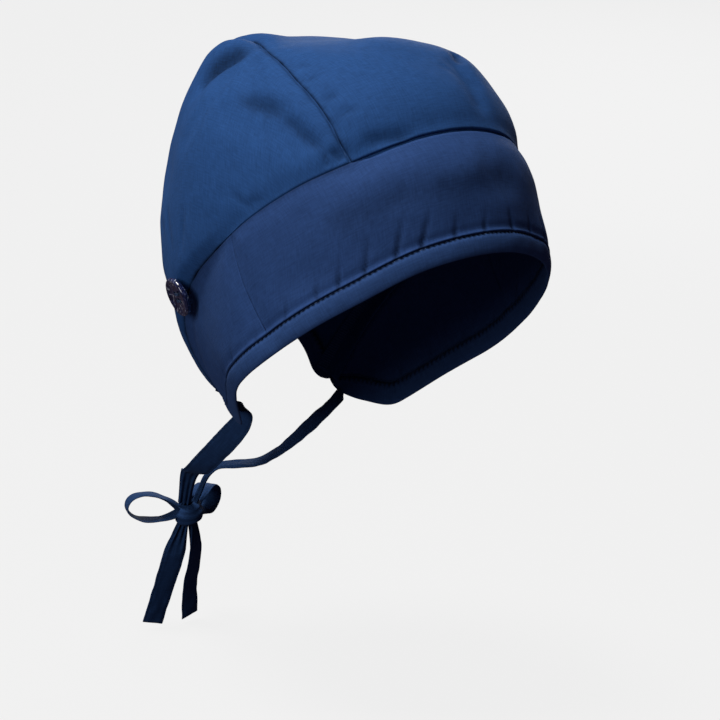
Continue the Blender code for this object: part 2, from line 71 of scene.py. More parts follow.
# %% Sizes of the form, in metres
HALF_WIDTH, FRONT_REACH, BACK_REACH, RISE = 0.0836, 0.0973, 0.1046, 0.1190
LEAN, PLAN_POWER, CROWN_POWER = 0.177, 2.09, 3.15
LOW_FRONT, LOW_SIDE, LOW_BACK = 0.300, 0.190, 0.130
NAPE_PINCH, PINCH_START, PINCH_SPAN = 0.23, 0.020, 0.060
MIDDLE = np.array([0.0, -LEAN * RISE, -RISE])


def smooth(t):
    """Smooth step from 0 to 1."""
    t = np.clip(t, 0.0, 1.0)
    return t * t * (3 - 2 * t)


def plan_reach(x, y):
    """How far plan directions lie from the middle, as a share of the form's plan."""
    reach = np.where(y < 0, FRONT_REACH, BACK_REACH)
    return (np.abs(x / HALF_WIDTH) ** PLAN_POWER + np.abs(y / reach) ** PLAN_POWER) ** (1 / PLAN_POWER)


def taper(side, back, depth):
    """Share of the plan that is left at a depth below the widest level."""
    low = LOW_SIDE + (np.where(back > 0, LOW_BACK, LOW_FRONT) - LOW_SIDE) * smooth(np.abs(back))
    pinch = np.clip((depth - PINCH_START) / PINCH_SPAN, 0, None) ** 2
    pinch = pinch * NAPE_PINCH * (0.35 + 0.65 * np.abs(side)) * smooth(2 * back + 0.5)
    return np.sqrt(np.clip(1 - (depth / low) ** 2, 0.05, None)) * (1 - pinch)


# %% Points on the form
def lay(points):
    """The form's points nearest some points, straight out from the middle or, low down, level."""
    x, y, z = (np.atleast_2d(points) - MIDDLE).T
    y = y - LEAN * z
    high = z > 0
    reach = plan_reach(x, y)
    dome = (reach ** CROWN_POWER + (np.where(high, z, 0) / RISE) ** CROWN_POWER) ** (-1 / CROWN_POWER)
    across = np.hypot(x, y) + 1e-12
    wall = taper(x / across, y / across, np.where(high, 0, -z)) / reach
    scale = np.where(high, dome, wall)
    z = np.where(high, z * dome, z)
    return MIDDLE + np.stack([x * scale, y * scale + LEAN * z, z], axis=1)


def outward(points):
    """Directions away from the form at points on it."""
    away = np.atleast_2d(points) - MIDDLE
    away[:, 1] -= LEAN * away[:, 2]
    away[:, 2] = np.maximum(away[:, 2], 0)
    return away / np.linalg.norm(away, axis=1, keepdims=True)


def on_form(bearing, height):
    """Points of the form at bearings and heights. Bearing 0 is the front, 90 the wearer's right."""
    bearing, height = np.broadcast_arrays(np.radians(np.atleast_1d(bearing)), height)
    level = height - MIDDLE[2]
    side, back = -np.sin(bearing), -np.cos(bearing)
    dome = np.clip(1 - (np.clip(level, 0, None) / RISE) ** CROWN_POWER, 0, None) ** (1 / CROWN_POWER)
    share = np.where(level > 0, dome, taper(side, back, np.clip(-level, 0, None)))
    out = share / plan_reach(side, back)
    return MIDDLE + np.stack([side * out, back * out + LEAN * level, level], axis=1)


def toward(bearing, rise):
    """The form's point in a direction from its middle, both angles in degrees."""
    b, r = radians(bearing), radians(rise)
    away = np.array([-sin(b) * cos(r), -cos(b) * cos(r), sin(r)]) * RISE
    away[1] += LEAN * away[2]
    return lay(MIDDLE + away)[0]


def bearing_of(points):
    """Bearings of points on the form."""
    x, y, z = (np.atleast_2d(points) - MIDDLE).T
    return np.degrees(np.arctan2(-x, LEAN * z - y))


highest = lay([[0, -0.02, 0.1]])[0]
print("form is", round(2000 * HALF_WIDTH), "mm wide and its top is at", highest.round(4))

# %% [markdown]
# ## Seam lines
# A sewn thing is drawn by its seams. The lower edge drops from the brow to the nape, and the seam
# between band and crown runs about 6 cm above it. One curved seam on each side joins the crown's
# middle panel to its side panel. Each line is a few numbers in a table, read with a smooth curve,
# which is how a pattern cutter marks a few points and draws through them with a curved ruler.
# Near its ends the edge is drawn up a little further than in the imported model, as the ties pull.

# %% Heights of the edges
BROW_DROP, NAPE_DROP, BAND_DEPTH, BAND_END = 0.0912, 0.1977, 0.0674, 150.0
ARCH_RISE, HEM_DEPTH, END_LIFT, LIFT_START = 0.0450, 0.0100, 0.0095, 120.0
EDGES = np.array([
    # bearing, lower edge, band seam
    (0.0, 0.000, 0.855),
    (22.0, 0.058, 0.877),
    (45.0, 0.236, 0.944),
    (90.0, 0.648, 1.000),
    (125.0, 0.917, 0.880),
    (150.0, 1.000, 0.282),
])
CROWN_SEAM = [
    # bearing, rise angle
    (45.5, 42.8), (48.5, 47.0), (54.5, 52.6), (62.5, 57.4), (73.0, 62.5), (92.0, 67.3),
    (126.0, 69.1), (148.0, 60.0), (158.0, 46.0), (163.0, 28.0), (165.0, 8.0),
]
SEAM_START, SEAM_END = 42.0, 60.0
SIDE_SEAM = np.array([(0.0, 86.5), (0.5, 82.0), (1.0, 73.5)])


def read_rows(rows, key, column=1):
    """One column of a table at some keys, by a smooth curve that starts level."""
    keys, values = rows[:, 0], rows[:, column]
    slopes = np.gradient(values, keys)
    slopes[0] = 0.0
    i = np.clip(np.searchsorted(keys, key) - 1, 0, len(keys) - 2)
    span = keys[i + 1] - keys[i]
    t = (key - keys[i]) / span
    a, b = values[i], values[i + 1]
    return ((2 * t**3 - 3 * t**2 + 1) * a + (t**3 - 2 * t**2 + t) * span * slopes[i]
            + (-2 * t**3 + 3 * t**2) * b + (t**3 - t**2) * span * slopes[i + 1])


def end_lift(bearing):
    """How far the edge is drawn up where the band narrows towards its tie."""
    return END_LIFT * smooth((np.abs(bearing) - LIFT_START) / (BAND_END - LIFT_START))


def edge_height(bearing):
    """Height of the lower edge at a bearing."""
    drop = BROW_DROP + (NAPE_DROP - BROW_DROP) * read_rows(EDGES, np.abs(bearing), 1)
    return end_lift(bearing) - drop


def band_height(bearing):
    """Height of the seam between band and crown at a bearing."""
    depth = BAND_DEPTH * read_rows(EDGES, np.abs(bearing), 2)
    return edge_height(bearing) - end_lift(bearing) + depth


print("band is %.0f mm deep at the brow" % (1000 * (band_height(0.0) - edge_height(0.0))))

# %% Lines as rows of points
def run_of(line):
    """Distance along a line at each of its points."""
    steps = np.linalg.norm(np.diff(line, axis=0), axis=1)
    return np.concatenate([[0.0], np.cumsum(steps)])


def along(line, shares):
    """Points at shares of a line's length."""
    run = run_of(line)
    return np.stack([np.interp(np.asarray(shares) * run[-1], run, line[:, k]) for k in range(3)], axis=1)


def evenly(line, count):
    """Points at equal steps along a line."""
    return along(np.asarray(line), np.linspace(0, 1, count))


def smooth_line(points, count):
    """A curve through a few points, evenly spaced."""
    points = [np.array(p) for p in points]
    points = [2 * points[0] - points[1]] + points + [2 * points[-1] - points[-2]]
    line = []
    for a, b, c, d in zip(points, points[1:], points[2:], points[3:]):
        for t in np.linspace(0, 1, 12, endpoint=False):
            line.append(0.5 * (2 * b + (c - a) * t + (2 * a - 5 * b + 4 * c - d) * t**2
                               + (3 * b - a - 3 * c + d) * t**3))
    line.append(points[-2])
    return evenly(line, count)


def beside(line, distance):
    """A line moved across the form, upwards where it runs from the wearer's left to right."""
    side = np.cross(np.gradient(line, axis=0), outward(line))
    side /= np.linalg.norm(side, axis=1, keepdims=True)
    return lay(line + side * np.reshape(distance, (-1, 1)))


def band_seam(start, end, count=601):
    """Seam between band and crown between two bearings."""
    bearing = np.linspace(start, end, count)
    return evenly(on_form(bearing, band_height(bearing)), count)


def nape_arch(start, end, side=1, count=121):
    """Seam over the nape opening, in degrees around the arch from the band's end."""
    turn = np.radians(np.linspace(start, end, count))
    bearing = 180 - (180 - BAND_END) * np.cos(turn)
    return evenly(on_form(side * bearing, band_height(BAND_END) + ARCH_RISE * np.sin(turn)), count)


def crown_seam(side=1, count=601):
    """Seam between the crown's middle panel and one side panel, front to back."""
    first = on_form(SEAM_START, band_height(SEAM_START))[0]
    last = nape_arch(0, SEAM_END)[-1]
    line = smooth_line([first] + [toward(*row) for row in CROWN_SEAM] + [last], count)
    return evenly(lay(line) * [side, 1, 1], count)


print("band seam is %.0f mm long" % (1000 * run_of(band_seam(-BAND_END, BAND_END))[-1]))

# %% The hem's upper edge, cut where the band's side seams meet it
edge_bearing = np.linspace(-BAND_END, BAND_END, 1201)
HEM_TOP = beside(evenly(on_form(edge_bearing, edge_height(edge_bearing)), 1201), HEM_DEPTH)


def side_seam(side=1, count=41):
    """Slanting seam of the band, foot to top."""
    foot = HEM_TOP[np.argmin(np.abs(bearing_of(HEM_TOP) - SIDE_SEAM[-1, 1]))]
    down = np.linspace(1, 0, count)
    height = foot[2] + (band_height(SIDE_SEAM[0, 1]) - foot[2]) * (1 - down)
    return evenly(on_form(read_rows(SIDE_SEAM, down), height) * [side, 1, 1], count)


cuts = [int(np.argmin(np.linalg.norm(HEM_TOP - side_seam(side)[0], axis=1))) for side in (-1, 1)]
HEM_LEFT, HEM_FRONT, HEM_RIGHT = HEM_TOP[:cuts[0] + 1], HEM_TOP[cuts[0]:cuts[1] + 1], HEM_TOP[cuts[1]:]
print("hem is %.0f mm long, %.0f mm of it across the front"
      % (1000 * run_of(HEM_TOP)[-1], 1000 * run_of(HEM_FRONT)[-1]))

# %% [markdown]
# ## Folds
# Folds tell the eye that a thing is cloth. The broad ones come from the shape: the crown has more
# cloth than the head needs, so it dents behind its highest point and rolls over at the back. The
# narrow ones come from sewing, because stitches pull and the cloth beside them puckers. A fold is
# a line between two directions with a breadth and a depth, and a negative depth stands out.

# %% Broad folds, breadth and depth in millimetres
BROAD_FOLDS = [
    # bearing, rise, bearing, rise, breadth, depth
    (126.0, 54.0, 106.0, 58.0, 9.0, 3.20),     # dent behind the crown
    (146.0, 61.0, 122.0, 69.0, 14.4, -5.40),   # roll over the back
    (153.0, 54.0, 146.0, 40.0, 16.0, 3.12),    # dent under the peak
    (141.0, -9.0, 146.0, -27.0, 15.0, 4.00),   # hollow behind the ear
    (-28.0, 19.0, -38.0, 14.0, 10.0, -1.60),   # flare over the left temple
    (100.0, 76.0, -70.0, 80.0, 16.0, 1.40),    # dip across the top
    (-30.0, 63.0, 5.0, 73.0, 18.0, -4.00),     # swell over the forehead
    (92.0, 63.0, 86.0, 56.0, 6.4, 2.00),       # pinch at the top seam
    (92.0, 49.0, 58.0, 43.0, 9.0, 1.80),       # hollow beside the seam
    (128.0, 48.0, 134.0, 32.0, 16.0, 3.60),    # flat behind the ear
    (134.0, 14.0, 134.0, 4.0, 16.0, -2.00),    # fullness over the button
    (104.0, 52.0, 116.0, 40.0, 6.4, 1.20),     # crease to the back
    (-17.0, 60.0, -12.0, 51.0, 6.4, 2.00),     # fold over the forehead
    (-38.0, 37.5, -58.0, 31.0, 7.0, 3.60),     # waist at the left temple
    (45.0, 25.0, 5.0, 35.0, 8.0, -1.20),       # roll of the band
    (60.0, 8.0, 10.0, 24.0, 11.0, 1.00),       # hollow of the band
    (-120.0, 60.0, -100.0, 55.0, 9.0, 2.40),   # left dent behind the crown
    (-84.0, 48.0, -60.0, 40.0, 9.0, 1.60),     # left hollow beside the seam
    (-126.0, 42.0, -140.0, 28.0, 7.0, 1.60),   # left crease to the back
    (176.0, 42.0, 150.0, 30.0, 9.0, 1.60),     # back hollow
]
print("deepest broad fold:", max(row[5] for row in BROAD_FOLDS), "mm")

# %% Narrow folds, which fade at both ends
NARROW_FOLDS = [
    # bearing, rise, bearing, rise, breadth, depth
    (103.0, 66.5, 76.0, 56.0, 1.6, 0.9),       # crease from the crown's peak
    (96.0, 66.5, 73.0, 57.5, 1.4, -0.5),
    (133.0, 53.0, 98.0, 66.0, 4.8, 4.4),       # dark dent behind it
    (125.0, 56.5, 109.0, 64.5, 3.6, 2.4),
    (132.0, 54.5, 124.0, 53.0, 2.0, 1.2),
    (92.0, 52.8, 62.0, 48.6, 4.2, 2.4),        # valley down to the brow
    (68.0, 49.6, 49.0, 39.6, 3.0, 2.0),
    (105.5, 53.6, 106.0, 40.0, 1.6, 0.5),
    (50.8, 41.0, 49.4, 36.8, 1.6, 1.1),        # by the seams' meeting
    (48.6, 41.4, 44.2, 38.4, 2.2, 1.7),
    (66.0, 62.0, 56.0, 61.5, 2.2, 0.8),        # dimples beside the crown seam
    (59.0, 57.2, 51.0, 58.0, 2.0, 0.7),
    (51.6, 51.6, 44.0, 53.0, 2.6, 0.9),
    (46.5, 48.0, 38.0, 49.5, 2.4, 0.8),
    (40.0, 42.2, 19.0, 43.8, 3.4, 1.5),        # hollow over the brow
    (88.0, 30.8, 75.0, 26.0, 1.6, 0.6),        # over the ear
    (80.0, 28.0, 71.0, 29.5, 2.0, 0.4),
    (-3.0, 62.2, -18.5, 52.5, 1.5, 1.0),       # over the forehead
    (-13.0, 60.2, -21.0, 52.5, 1.3, 0.7),
    (-33.0, 64.5, -20.0, 60.6, 3.0, 2.4),
    (-92.0, 66.0, -74.0, 54.0, 1.8, 0.8),      # the wearer's left
    (-88.0, 50.0, -56.0, 41.0, 5.0, 1.2),
    (-112.0, 50.0, -120.0, 34.0, 2.4, 0.7),
    (-50.0, 42.0, -44.0, 37.5, 2.2, 0.9),
    (-84.0, 33.0, -74.0, 25.0, 1.8, 0.6),
    (168.0, 50.0, 150.0, 38.0, 2.6, 0.9),      # the back
    (176.0, 30.0, 165.0, 18.0, 2.2, 0.8),
    (-170.0, 34.0, -158.0, 20.0, 2.4, 0.9),
    (140.0, 20.0, 128.0, 11.0, 2.2, 0.8),      # gathers over the button
    (128.0, 22.0, 122.0, 8.0, 2.4, 0.7),
    (112.0, 24.0, 116.0, 8.0, 2.0, 0.5),
    (54.0, 21.5, 18.0, 32.0, 7.0, 1.8),        # the band's roll
    (26.0, 30.5, -18.0, 32.5, 7.5, 2.4),
    (50.0, 29.0, 18.0, 38.5, 5.5, -0.5),
    (26.0, 37.5, -18.0, 40.5, 5.5, -0.5),
    (-130.0, 24.0, -122.0, 8.0, 2.4, 0.8),
    (-112.0, 22.0, -116.0, 7.0, 2.0, 0.6),
]
print("deepest narrow fold:", max(row[5] for row in NARROW_FOLDS), "mm")

# %% Folds as one rule
SEAM_TUCK, TUCK_REACH, BACK_FULLNESS, FULL_DROP = 0.0010, 0.006, 0.0080, 0.014
BROW_TUCK, TUCK_DROP = 0.0030, 0.011
FULL_FROM, TUCK_TO = 80.0, 62.0  # bearings where the fullness begins and the tuck has ended
FULL_SHADE = 0.0028  # depth of a narrow fold that gets the full painted shade
seam_lines = [band_seam(-BAND_END, BAND_END), crown_seam(1), crown_seam(-1), side_seam(1), side_seam(-1)]
seam_tree = kdtree.KDTree(sum(len(line) for line in seam_lines))
for number, point in enumerate(np.concatenate(seam_lines)):
    seam_tree.insert(point, number)
seam_tree.balance()


def fold(points, row, fades):
    """Depth of one fold at each point."""
    start, end = toward(*row[0:2]), toward(*row[2:4])
    run = end - start
    share = (points - start) @ run / (run @ run)
    off = np.linalg.norm(points - start - np.clip(share, 0, 1)[:, None] * run, axis=1)
    depth = row[5] * 0.001 * np.exp(-(off / (row[4] * 0.001)) ** 2)
    if fades:
        depth = depth * smooth(3 * share) * smooth(3 * (1 - share))
    return depth


def uneven(points, size, depth, seed):
    """Soft unevenness of cloth, from noise of one size."""
    return depth * np.array([noise.noise(Vector(p) / size + Vector((seed, 0, 0))) for p in points])


def cloth(points):
    """Points moved onto the cloth's inner face, and how deep each lies in narrow folds, as a share of
    full painted shade.
    """
    points = lay(points)
    near = np.array([seam_tree.find(p)[2] for p in points])
    depth = SEAM_TUCK * np.exp(-(near / TUCK_REACH) ** 2)
    calm = smooth(near / (2 * TUCK_REACH) + 0.25)
    bearing = np.abs(bearing_of(points))
    below = band_height(np.minimum(bearing, BAND_END)) - points[:, 2]
    depth += BACK_FULLNESS * smooth(below / FULL_DROP + 0.5) * smooth((bearing - FULL_FROM) / 40)
    depth += BROW_TUCK * np.exp(-(below / TUCK_DROP) ** 2) * smooth((TUCK_TO - bearing) / 30)
    for row in BROAD_FOLDS:
        depth += fold(points, row, False) * calm
    shade = np.zeros(len(points))
    for row in NARROW_FOLDS:
        deep = fold(points, row, True)
        depth += deep
        # Painted shade: the deeper a narrow fold, the darker its colour is painted.
        shade += np.clip(deep, 0, None) / FULL_SHADE
    depth += uneven(points, 0.030, 0.0005, 3.0) + uneven(points, 0.009, 0.00016, 8.0)
    return points - outward(points) * depth[:, None], np.clip(shade, 0, 1)


print("folds:", len(BROAD_FOLDS), "broad,", len(NARROW_FOLDS), "narrow")

# %% [markdown]
# ## Poplin
# Poplin is a plain weave of fine threads, a quarter of a millimetre apart. From arm's length the
# threads vanish, and what stays is a faint grain of thicker and thinner yarn and a soft sheen on
# the curves. One node group makes this for every cloth of the cap. It reads a map that is laid
# on each piece in metres, so the threads have one size everywhere and follow the cut.

# %% Helpers for nodes
def link_math(tree, operation, *values):
    """A math node on sockets or numbers, and its output."""
    node = tree.nodes.new("ShaderNodeMath")
    node.operation = operation
    for socket, value in zip(node.inputs, values):
        if isinstance(value, (int, float)):
            socket.default_value = value
        else:
            tree.links.new(value, socket)
    return node.outputs[0]


def noise_texture(tree, vector, scale, detail, warp=0.0):
    """Noise on a vector socket."""
    cloud = tree.nodes.new("ShaderNodeTexNoise")
    cloud.inputs["Scale"].default_value = scale
    cloud.inputs["Detail"].default_value = detail
    cloud.inputs["Distortion"].default_value = warp
    tree.links.new(vector, cloud.inputs["Vector"])
    return cloud.outputs[0]


def stretched_noise(tree, vector, across, along_it):
    """Noise drawn out along the threads of one direction, sizes in metres."""
    scaled = tree.nodes.new("ShaderNodeVectorMath")
    scaled.operation = "MULTIPLY"
    scaled.inputs[1].default_value = (1 / across, 1 / along_it, 1.0)
    tree.links.new(vector, scaled.inputs[0])
    return noise_texture(tree, scaled.outputs[0], 1.0, 2.0)


def new_group(name, inputs, outputs):
    """An empty node group with named sockets: its tree, its input node and its output node."""
    tree = bpy.data.node_groups.new(name, "ShaderNodeTree")
    for kind, rows in (("INPUT", inputs), ("OUTPUT", outputs)):
        for label, socket_type, value in rows:
            socket = tree.interface.new_socket(name=label, in_out=kind, socket_type=socket_type)
            if value is not None:
                socket.default_value = value
    return tree, tree.nodes.new("NodeGroupInput"), tree.nodes.new("NodeGroupOutput")


# %% A node group for the weave
weave, enter, leave = new_group(
    "Poplin weave",
    [("Vector", "NodeSocketVector", None), ("Thread", "NodeSocketFloat", 0.00028),
     ("Colour", "NodeSocketColor", (0.02, 0.06, 0.17, 1)), ("Grain", "NodeSocketFloat", 0.35),
     ("Painted shade", "NodeSocketFloat", 0.0)],
    [("Colour", "NodeSocketColor", None), ("Roughness", "NodeSocketFloat", None),
     ("Height", "NodeSocketFloat", None)])
calc = partial(link_math, weave)
laid_map = enter.outputs["Vector"]
parts = weave.nodes.new("ShaderNodeSeparateXYZ")
weave.links.new(laid_map, parts.inputs[0])
turns = []
for axis in (0, 1):
    phase = calc("DIVIDE", parts.outputs[axis], enter.outputs["Thread"])
    turns.append(calc("SINE", calc("MULTIPLY", phase, pi)))
over = calc("MULTIPLY_ADD", calc("MULTIPLY", turns[0], turns[1]), 0.5, 0.5)
warp = calc("MULTIPLY", calc("ABSOLUTE", turns[0]), over)
weft = calc("MULTIPLY", calc("ABSOLUTE", turns[1]), calc("SUBTRACT", 1.0, over))
threads = calc("ADD", warp, weft)
slubs = calc("ADD", stretched_noise(weave, laid_map, 0.0007, 0.0060),
             stretched_noise(weave, laid_map, 0.0060, 0.0007))
cloudy = stretched_noise(weave, laid_map, 0.012, 0.018)
shade = calc("MULTIPLY", calc("SUBTRACT", slubs, 1.0), 1.6)
for part in (threads, cloudy):
    shade = calc("ADD", shade, calc("MULTIPLY", calc("SUBTRACT", part, 0.5), 0.5))
shade = calc("MULTIPLY", shade, enter.outputs["Grain"])
# Painted shade: the attribute input here darkens the colour in folds, seams, grooves and pleats, where
# shade falls.
shade = calc("SUBTRACT", shade, calc("MULTIPLY", enter.outputs["Painted shade"], 0.94))
tinted = weave.nodes.new("ShaderNodeVectorMath")
tinted.operation = "SCALE"
weave.links.new(enter.outputs["Colour"], tinted.inputs[0])
weave.links.new(calc("ADD", 1.0, shade), tinted.inputs["Scale"])
weave.links.new(tinted.outputs[0], leave.inputs["Colour"])
weave.links.new(calc("SUBTRACT", 0.92, calc("MULTIPLY", threads, 0.22)), leave.inputs["Roughness"])
weave.links.new(calc("ADD", threads, calc("MULTIPLY", slubs, 0.6)), leave.inputs["Height"])
print("weave group has", len(weave.nodes), "nodes")

# %% Cloth finishes
def new_finish(name, values):
    """A material with values for its main shader: itself, its node tree and that shader."""
    material = bpy.data.materials.new(name)
    material.use_nodes = True
    shader = material.node_tree.nodes["Principled BSDF"]
    for label, value in values.items():
        shader.inputs[label].default_value = value
    return material, material.node_tree, shader


def bumped(tree, shader, height, distance, strength=1.0):
    """Bump on a shader from a height, and its node."""
    bump = tree.nodes.new("ShaderNodeBump")
    bump.inputs["Strength"].default_value = strength
    bump.inputs["Distance"].default_value = distance
    tree.links.new(height, bump.inputs["Height"])
    tree.links.new(bump.outputs[0], shader.inputs["Normal"])
    return bump


def cloth_finish(name, colour, edging=None):
    """A poplin material of one dye, with a second node group for its edging where one is given."""
    material, tree, shader = new_finish(name, {
        "Sheen Weight": 0.04, "Sheen Roughness": 0.45, "Sheen Tint": (0.45, 0.65, 1.0, 1),
        "Specular IOR Level": 0.06})
    fabric = tree.nodes.new("ShaderNodeGroup")
    fabric.node_tree = weave
    fabric.inputs["Colour"].default_value = (*colour, 1)
    laid = tree.nodes.new("ShaderNodeUVMap")
    laid.uv_map = "Weave"
    # Painted shade: a per-vertex attribute that darkens the cloth where shade falls in folds, seams and
    # grooves.
    painted_shade = tree.nodes.new("ShaderNodeAttribute")
    painted_shade.attribute_name = "painted_shade"
    tree.links.new(laid.outputs[0], fabric.inputs["Vector"])
    tree.links.new(painted_shade.outputs["Fac"], fabric.inputs["Painted shade"])
    tree.links.new(fabric.outputs["Roughness"], shader.inputs["Roughness"])
    last = fabric
    if edging:
        last = tree.nodes.new("ShaderNodeGroup")
        last.node_tree = edging
        tree.links.new(laid.outputs[0], last.inputs["Vector"])
        for label in ("Colour", "Height"):
            tree.links.new(fabric.outputs[label], last.inputs[label])
    tree.links.new(last.outputs["Colour"], shader.inputs["Base Color"])
    bumped(tree, shader, last.outputs["Height"], 0.00010, 0.5)
    return material


NAVY = cloth_finish("navy_poplin_crown", (0.0180, 0.066, 0.205))
BAND_NAVY = cloth_finish("navy_poplin_band", (0.0230, 0.059, 0.180))
HEM_NAVY = cloth_finish("navy_poplin_hem", (0.0240, 0.061, 0.178))
TIE_NAVY = cloth_finish("navy_poplin_ties", (0.013, 0.038, 0.110))
print("cloth finishes:", [m.name for m in (NAVY, BAND_NAVY, HEM_NAVY, TIE_NAVY)])

# %% [markdown]
# ## Panels
# Each panel is a grid between its four seams, bent onto the form. The grid is fine enough for a
# crease two millimetres wide, and finer still along its edges, because there the cloth rolls over
# into the seam. That roll is modelled and draws the dark line of a seam; painted shade along the
# seam and in deep narrow folds darkens it further.

# %% A grid laid between four edges
def marks(size, cells):
    """Shares of a length, close together near both ends."""
    rolled_part = np.array([0, 0.25, 0.5, 0.8, 1.2, 1.8, 2.6, 3.6]) * 0.001 / size
    inner = np.linspace(rolled_part[-1], 1 - rolled_part[-1], cells + 1)
    return np.concatenate([rolled_part[:-1], inner, 1 - rolled_part[-2::-1]])


def patch(bottom, top, start, end, cell):
    """Points between four edges, bottom and top running alike from start to end."""
    wide = (run_of(bottom)[-1] + run_of(top)[-1]) / 2
    high = (run_of(start)[-1] + run_of(end)[-1]) / 2
    u, v = marks(wide, round(wide / cell)), marks(high, round(high / cell))
    b, t = along(bottom, u)[:, None], along(top, u)[:, None]
    s, e = along(start, v)[None], along(end, v)[None]
    u, v = u[:, None, None], v[None, :, None]
    points = (1 - v) * b + v * t + (1 - u) * s + u * e
    points -= (1 - u) * ((1 - v) * b[0] + v * t[0]) + u * ((1 - v) * b[-1] + v * t[-1])
    return points


def to_borders(points):
    """Distance from each point of a grid to its four edges, along the grid, and its map in metres."""
    across = np.linalg.norm(np.diff(points, axis=0), axis=2)
    up = np.linalg.norm(np.diff(points, axis=1), axis=2)
    run_u = np.concatenate([np.zeros((1, points.shape[1])), np.cumsum(across, axis=0)])
    run_v = np.concatenate([np.zeros((points.shape[0], 1)), np.cumsum(up, axis=1)], axis=1)
    away = {"start": run_u, "end": run_u[-1:] - run_u, "bottom": run_v, "top": run_v[:, -1:] - run_v}
    middle_u, middle_v = run_u[points.shape[0] // 2], run_v[:, points.shape[1] // 2]
    return away, np.stack([run_u - middle_u[None, :], run_v - middle_v[:, None]], axis=2)


def noise_at(*places):
    """Smooth noise at places given as three columns or numbers."""
    columns = np.broadcast_arrays(*places)
    values = [noise.noise(Vector(place)) for place in zip(*(column.flat for column in columns))]
    return np.array(values).reshape(columns[0].shape)


def rolled(away, reach, depth):
    """Depth of an edge that rolls over, a quarter round of a reach and a depth."""
    share = np.clip(1 - away / reach, 0, 1)
    return depth * (1 - np.sqrt(1 - share ** 2))


def gathers(run, away, size, reach, depth, seed):
    """Small puckers along a seam, fading away from it."""
    return depth * noise_at(run / size, seed, away / 0.02) * np.exp(-away / reach)


print("marks across 100 mm of cloth start at", (100 * marks(0.1, 10)[:5]).round(2), "mm")

# %% From a grid of points to a mesh
def mesh_from(name, bm):
    """A smooth-shaded mesh from a bmesh, which is then freed."""
    mesh = bpy.data.meshes.new(name)
    bm.to_mesh(mesh)
    bm.free()
    mesh.shade_smooth()
    return mesh


def face_out(bm):
    """Face a sheet outwards, judged by the face in the middle of its list."""
    face = bm.faces[:][len(bm.faces) // 2]
    if face.normal.dot(Vector(outward(np.array(face.calc_center_median()))[0])) < 0:
        bmesh.ops.reverse_faces(bm, faces=bm.faces)


def grid_mesh(name, points, weave_map, painted_shade, finish=face_out):
    """A mesh from a grid of points, with its weave map and painted shade, and the grid's area."""
    cells = points.shape[0] - 1, points.shape[1] - 1
    bm = bmesh.new()
    bmesh.ops.create_grid(bm, x_segments=cells[0], y_segments=cells[1], size=0.5)
    layer = bm.verts.layers.float.new("painted_shade")
    uv = bm.loops.layers.uv.new("Weave")
    spots = {}
    for vert in bm.verts:
        i, j = round((vert.co.x + 0.5) * cells[0]), round((vert.co.y + 0.5) * cells[1])
        spots[vert.index] = (i, j)
        vert.co = points[i, j]
        vert[layer] = painted_shade[i, j]
    for face in bm.faces:
        for loop in face.loops:
            loop[uv].uv = weave_map[spots[loop.vert.index]]
    bm.normal_update()
    area = sum(face.calc_area() for face in bm.faces)
    finish(bm)
    return mesh_from(name, bm), area


# %% From a mesh to a piece of cloth
def put(name, data):
    """A new object in the scene."""
    item = bpy.data.objects.new(name, data)
    bpy.context.scene.collection.objects.link(item)
    return item


def add_piece(name, mesh, material, nodes=()):
    """An object of the cap that rides on its body and stands for its nodes."""
    item = put(name, mesh)
    mesh.materials.append(material)
    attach(item, "root")
    if nodes:
        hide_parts(*nodes)
    return item


def thicken(item, thickness):
    """Give a sheet its thickness, inwards from its face."""
    wall = item.modifiers.new("Cloth thickness", "SOLIDIFY")
    wall.thickness = thickness
    wall.offset = -1.0
    return item


CLOTH, HEM_CLOTH, ALLOWANCE_CLOTH = 0.00045, 0.00035, 0.0007
SHADE_SHARE, SEAM_SHADE = 0.62, 0.0008  # how dark a deep fold's painted shade is, and how far a seam's painted shade reaches


def panel(name, edges, rise, rim, material, dark_sides, cell=0.0014):
    """A panel of the cap between four edges, standing for the node of the same name."""
    laid = patch(*edges, cell)
    shape = laid.shape[:2]
    inner, shade = cloth(laid.reshape(-1, 3))
    away, weave_map = to_borders(inner.reshape(laid.shape))
    flat_laid = lay(laid.reshape(-1, 3))
    bearing = bearing_of(flat_laid).reshape(shape)
    offset, rim_shade = rim(away, bearing)
    points = inner + outward(flat_laid) * (rise + offset).reshape(-1, 1)
    # Painted shade: darker near the seams and in deep narrow folds, where shade falls.
    closest = np.minimum.reduce([away[side] for side in dark_sides])
    shade = SHADE_SHARE * np.clip(shade.reshape(shape) + rim_shade, 0, 1)
    painted_shade = 1 - (1 - shade) * (1 - np.exp(-closest / SEAM_SHADE))
    mesh, area = grid_mesh(name + "_cloth", points.reshape(laid.shape), weave_map, painted_shade)
    item = thicken(add_piece(name + "_cloth", mesh, material, [name]), CLOTH)
    print("%s: %d x %d cells, %.0f square cm" % (name, shape[0] - 1, shape[1] - 1, area * 1e4))


print("cloth is %.2f mm thick, seam allowances %.2f mm" % (1000 * CLOTH, 1000 * ALLOWANCE_CLOTH))

# %% [markdown]
# ## Crown
# The middle panel's edges are folded under and lie on top, so they are lips with a small radius.
# The side panels end lower, and the step between them is the seam. Over the brow the crown's
# folded edge stands clear of the band, which shows as a dark gap with a bright rim, and painted
# shade on the band's top there makes the gap darker.

# %% Crown panels
def joined(lines):
    """Lines that meet end to end as one."""
    return np.concatenate([lines[0]] + [line[1:] for line in lines[1:]])


def brow_gap(bearing):
    """1 where the crown's edge stands clear of the band, 0 where they are sewn close."""
    return smooth((44 - bearing) / 8) * smooth((bearing + 32) / 16)


def lips(away, rows):
    """Depth of the edges that roll over: rows of a side, a reach and a depth."""
    return np.maximum.reduce([rolled(away[side], reach, depth) for side, reach, depth in rows])


